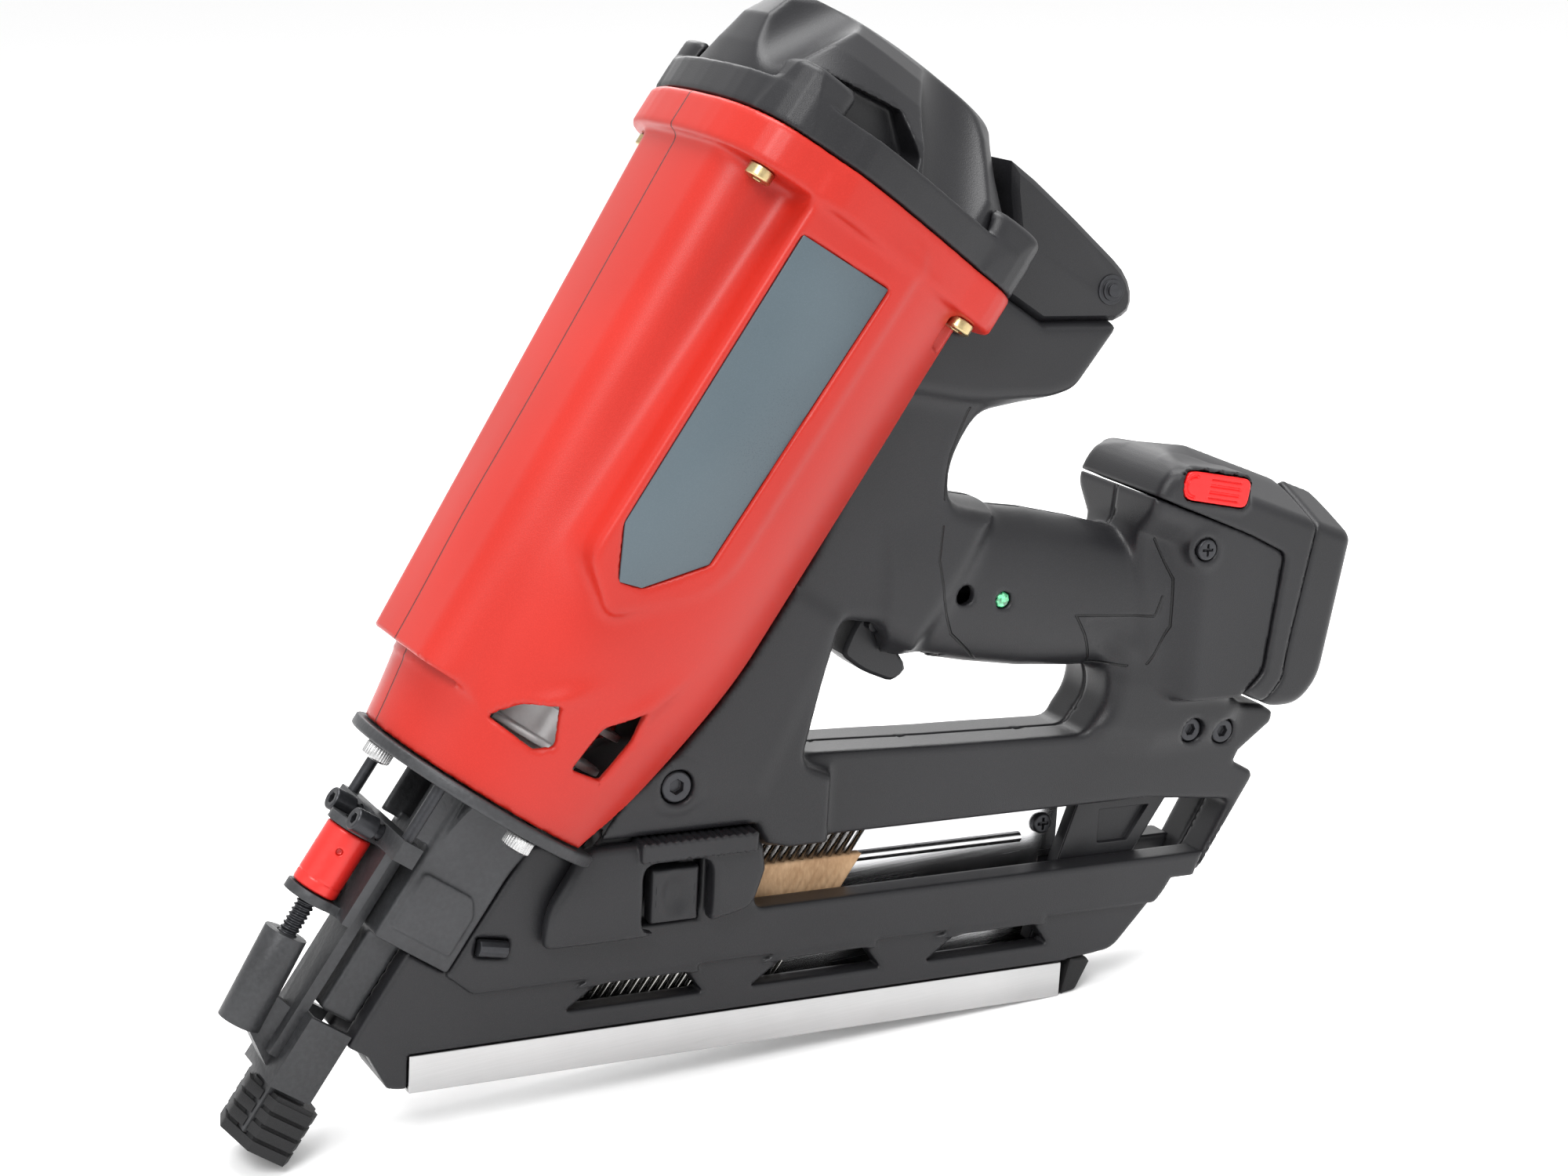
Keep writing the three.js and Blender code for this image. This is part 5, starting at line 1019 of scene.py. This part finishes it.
paper = Finish("tan_paper")
fibre, blotch = paper.noise(900, 5, (1, 1, 0.35)), paper.noise(120, 3)
paper_tone = paper.shade(fibre.step(0.35, 0.7) * 0.5 + blotch.step(0.4, 0.7) * 0.5, (0.42, 0.25, 0.13),
                         (0.66, 0.44, 0.26))
tan_paper = paper.finish(Base_Color=paper_tone, Roughness=0.85, Normal=paper.bump(fibre, 0.05))
TAPE_LOW, TAPE_TOP, ALONG, UP = 44, 71.6, 260, 24
reach = np.linspace(-(NAIL_COUNT * NAIL_PITCH + 4), 1.5, ALONG)
across, up = np.meshgrid(reach, np.linspace(TAPE_LOW, TAPE_TOP, UP), indexing="ij")
tape_m = STRIP_REAR - 3 + across + (up - NAIL_TOP) * NAIL_LEAN
ripple = 0.35 * np.abs(np.cos(np.pi * (across + 3) / NAIL_PITCH))
front = np.stack([tape_m, -1.95 - ripple, up], axis=-1).reshape(-1, 3)
behind = np.stack([tape_m, 0.95 + ripple, up], axis=-1).reshape(-1, 3)
i, j = np.meshgrid(np.arange(ALONG - 1), np.arange(UP - 1), indexing="ij")
quad = np.stack([i * UP + j, (i + 1) * UP + j, (i + 1) * UP + j + 1, i * UP + j + 1], axis=-1).reshape(-1, 4)
back = ALONG * UP
rim = np.concatenate([np.arange(0, back, UP), np.arange(back - UP + 1, back),
                      np.arange(back - UP - 1, UP - 2, -UP), np.arange(UP - 2, 0, -1)])
edge_faces = np.stack([np.roll(rim, -1), rim, rim + back, np.roll(rim, -1) + back], axis=-1)
tape = np.concatenate([quad, quad[:, ::-1] + back, edge_faces])
piece("nail_tape", np.concatenate([front, behind]), tape, tan_paper, "frame", "nail_paper", ["nail_strip"],
      magazine=True)
dressed("pusher", black_nylon, "pusher", 0.5)
cross_screw("liner_screw", 270.4, 2.1, 72.6)

# ---- Battery ----
# A two-part black nylon pack that slides off the holder along a tongue, its two parts meeting at a seam.
# A ribbed red button on each side lets it go.
BATTERY_Y = 25
CAP_SEAM = [(313.5, 202.2), (354, 188.2, 6), (344.5, 134.5, 6), (343.7, 124.7, 3), (336.8, 116.8)]
PACK = curve([(287.6, 190.4), (290, 196, 5), (297.6, 202, 5), *CAP_SEAM,
              *[(m + 0.35, n - 0.12, *r) for m, n, *r in HOLDER_SEAM[:0:-1]]])
END_CAP = curve([(m + 0.5, n + 0.2, *r) for m, n, *r in CAP_SEAM[::-1]] +
                [(318, 202.4), (336, 198.7, 6), (366.8, 186.5, 5), (369.7, 180, 5), (360.7, 123.2, 6),
                 (352.8, 114.5, 6), (342, 114.4, 3)])
OUTER = curve([(270, 149), (290, 196, 5), (297.6, 202, 5), (318, 202.4, 2), (336, 198.7, 6),
               (366.8, 186.5, 5), (369.7, 180, 5),
               (360.7, 123.2, 6), (352.8, 114.5, 6), (342, 114.4, 3), (300, 133.8)])
BUTTON = curve([(296, 189.5, 4), (297, 199, 4), (323, 194.6, 3), (321.6, 185, 3)])


def pack_field(m, y, n):
    """The battery's outline cut at its seams, its top edges sloped, with button shoulders, a tongue and
    button pockets."""
    body = both(slab(OUTER, m, y, n, BATTERY_Y, 4.5), inside(PACK, m, n), 0.6)
    top = (m - 300) * 0.36 + (n - 200)
    body = both(body, top + (np.abs(y) - 10) * 0.42 - 3, 3)
    shoulder = slab(BUTTON, m, y, n, BATTERY_Y - 0.3, 1.5) - 1.6
    body = melt(body, np.maximum(shoulder, 12 - np.abs(y)), 2.5)
    tongue = brick(m, y, n, (304, -11, 135), (343, 11, 163))
    body = np.minimum(body, tongue)
    pocket = np.maximum(inside(BUTTON, m, n) - 0.5, BATTERY_Y - 4.2 - np.abs(y))
    return carve(body, pocket, 0.4)


def end_field(m, y, n):
    """The battery's outline behind its rear seam, its top edges sloped as the pack's are."""
    body = both(slab(OUTER, m, y, n, BATTERY_Y - 0.3, 4.5), inside(END_CAP, m, n), 0.6)
    return both(body, (m - 300) * 0.36 + (n - 200) + (np.abs(y) - 10) * 0.42 - 3, 3)


moulding("battery_shell", pack_field, (284, -27, 110), (358, 27, 206), 1.0,
         black_nylon, "battery", "black_nylon", ["battery_pack"], magazine=True)
moulding("battery_end_shell", end_field, (310, -26, 110), (372, 26, 206), 1.0,
         black_nylon, "battery", "black_nylon", ["battery_end_cap"], magazine=True)

button_red = moulded("button_red", (0.62, 0.008, 0.008), 0.3, 0.02)
for side, name in ((-1, "right"), (1, "left")):
    def press_field(m, y, n):
        """A plate of the button's outline, less parallel grooves and a thumb arc."""
        out = y * side
        body = both(inside(BUTTON, m, n), np.abs(out - BATTERY_Y + 0.2) - 1.0, 0.5)
        u, v = (m - 309) * 0.985 - (n - 192) * 0.17, (m - 309) * 0.17 + (n - 192) * 0.985
        grooves = np.maximum(np.abs(v % 2.2 - 1.1) - 0.45, np.maximum(np.abs(u - 3.5) - 6.2, np.abs(v) - 3.3))
        body = carve(body, np.maximum(grooves, BATTERY_Y + 0.2 - out), 0.2)
        arc = np.abs(np.hypot(u + 8.6, v) - 3.4) - 0.5
        return carve(body, np.maximum(np.maximum(arc, u + 8.0), BATTERY_Y + 0.1 - out), 0.2)

    low_y, high_y = sorted((side * 23, side * 26.5))
    moulding("battery_button_" + name + "_ribbed", press_field, (294, low_y, 183), (325, high_y, 201), 0.35,
             button_red, "battery_button_" + name, "red_nylon",
             ["battery_button_" + name], magazine=True)

# ---- Inside pieces ----
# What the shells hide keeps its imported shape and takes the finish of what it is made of: foam, cast alloy,
# rubber, a coated board, bright steel or black nylon.
foam = moulded("foam", (0.03, 0.03, 0.03), 0.95, 0.3)
board = moulded("board", (0.01, 0.12, 0.04), 0.4, 0.02)
HIDDEN = {
    foam: ["air_filter"],
    cast_alloy: ["cylinder_head", "chamber_sleeve", "gas_cell"],
    black_rubber: ["bumper"],
    board: ["ignition_board"],
    bright_steel: ["fan_motor", "spark_plug", "piston", "driver_blade"],
    black_nylon: ["fan", "metering_valve", "trigger_switch"],
}
for finish, names in HIDDEN.items():
    for name in names:
        materials = frame["nodes"][name].data.materials
        materials.clear()
        materials.append(finish)
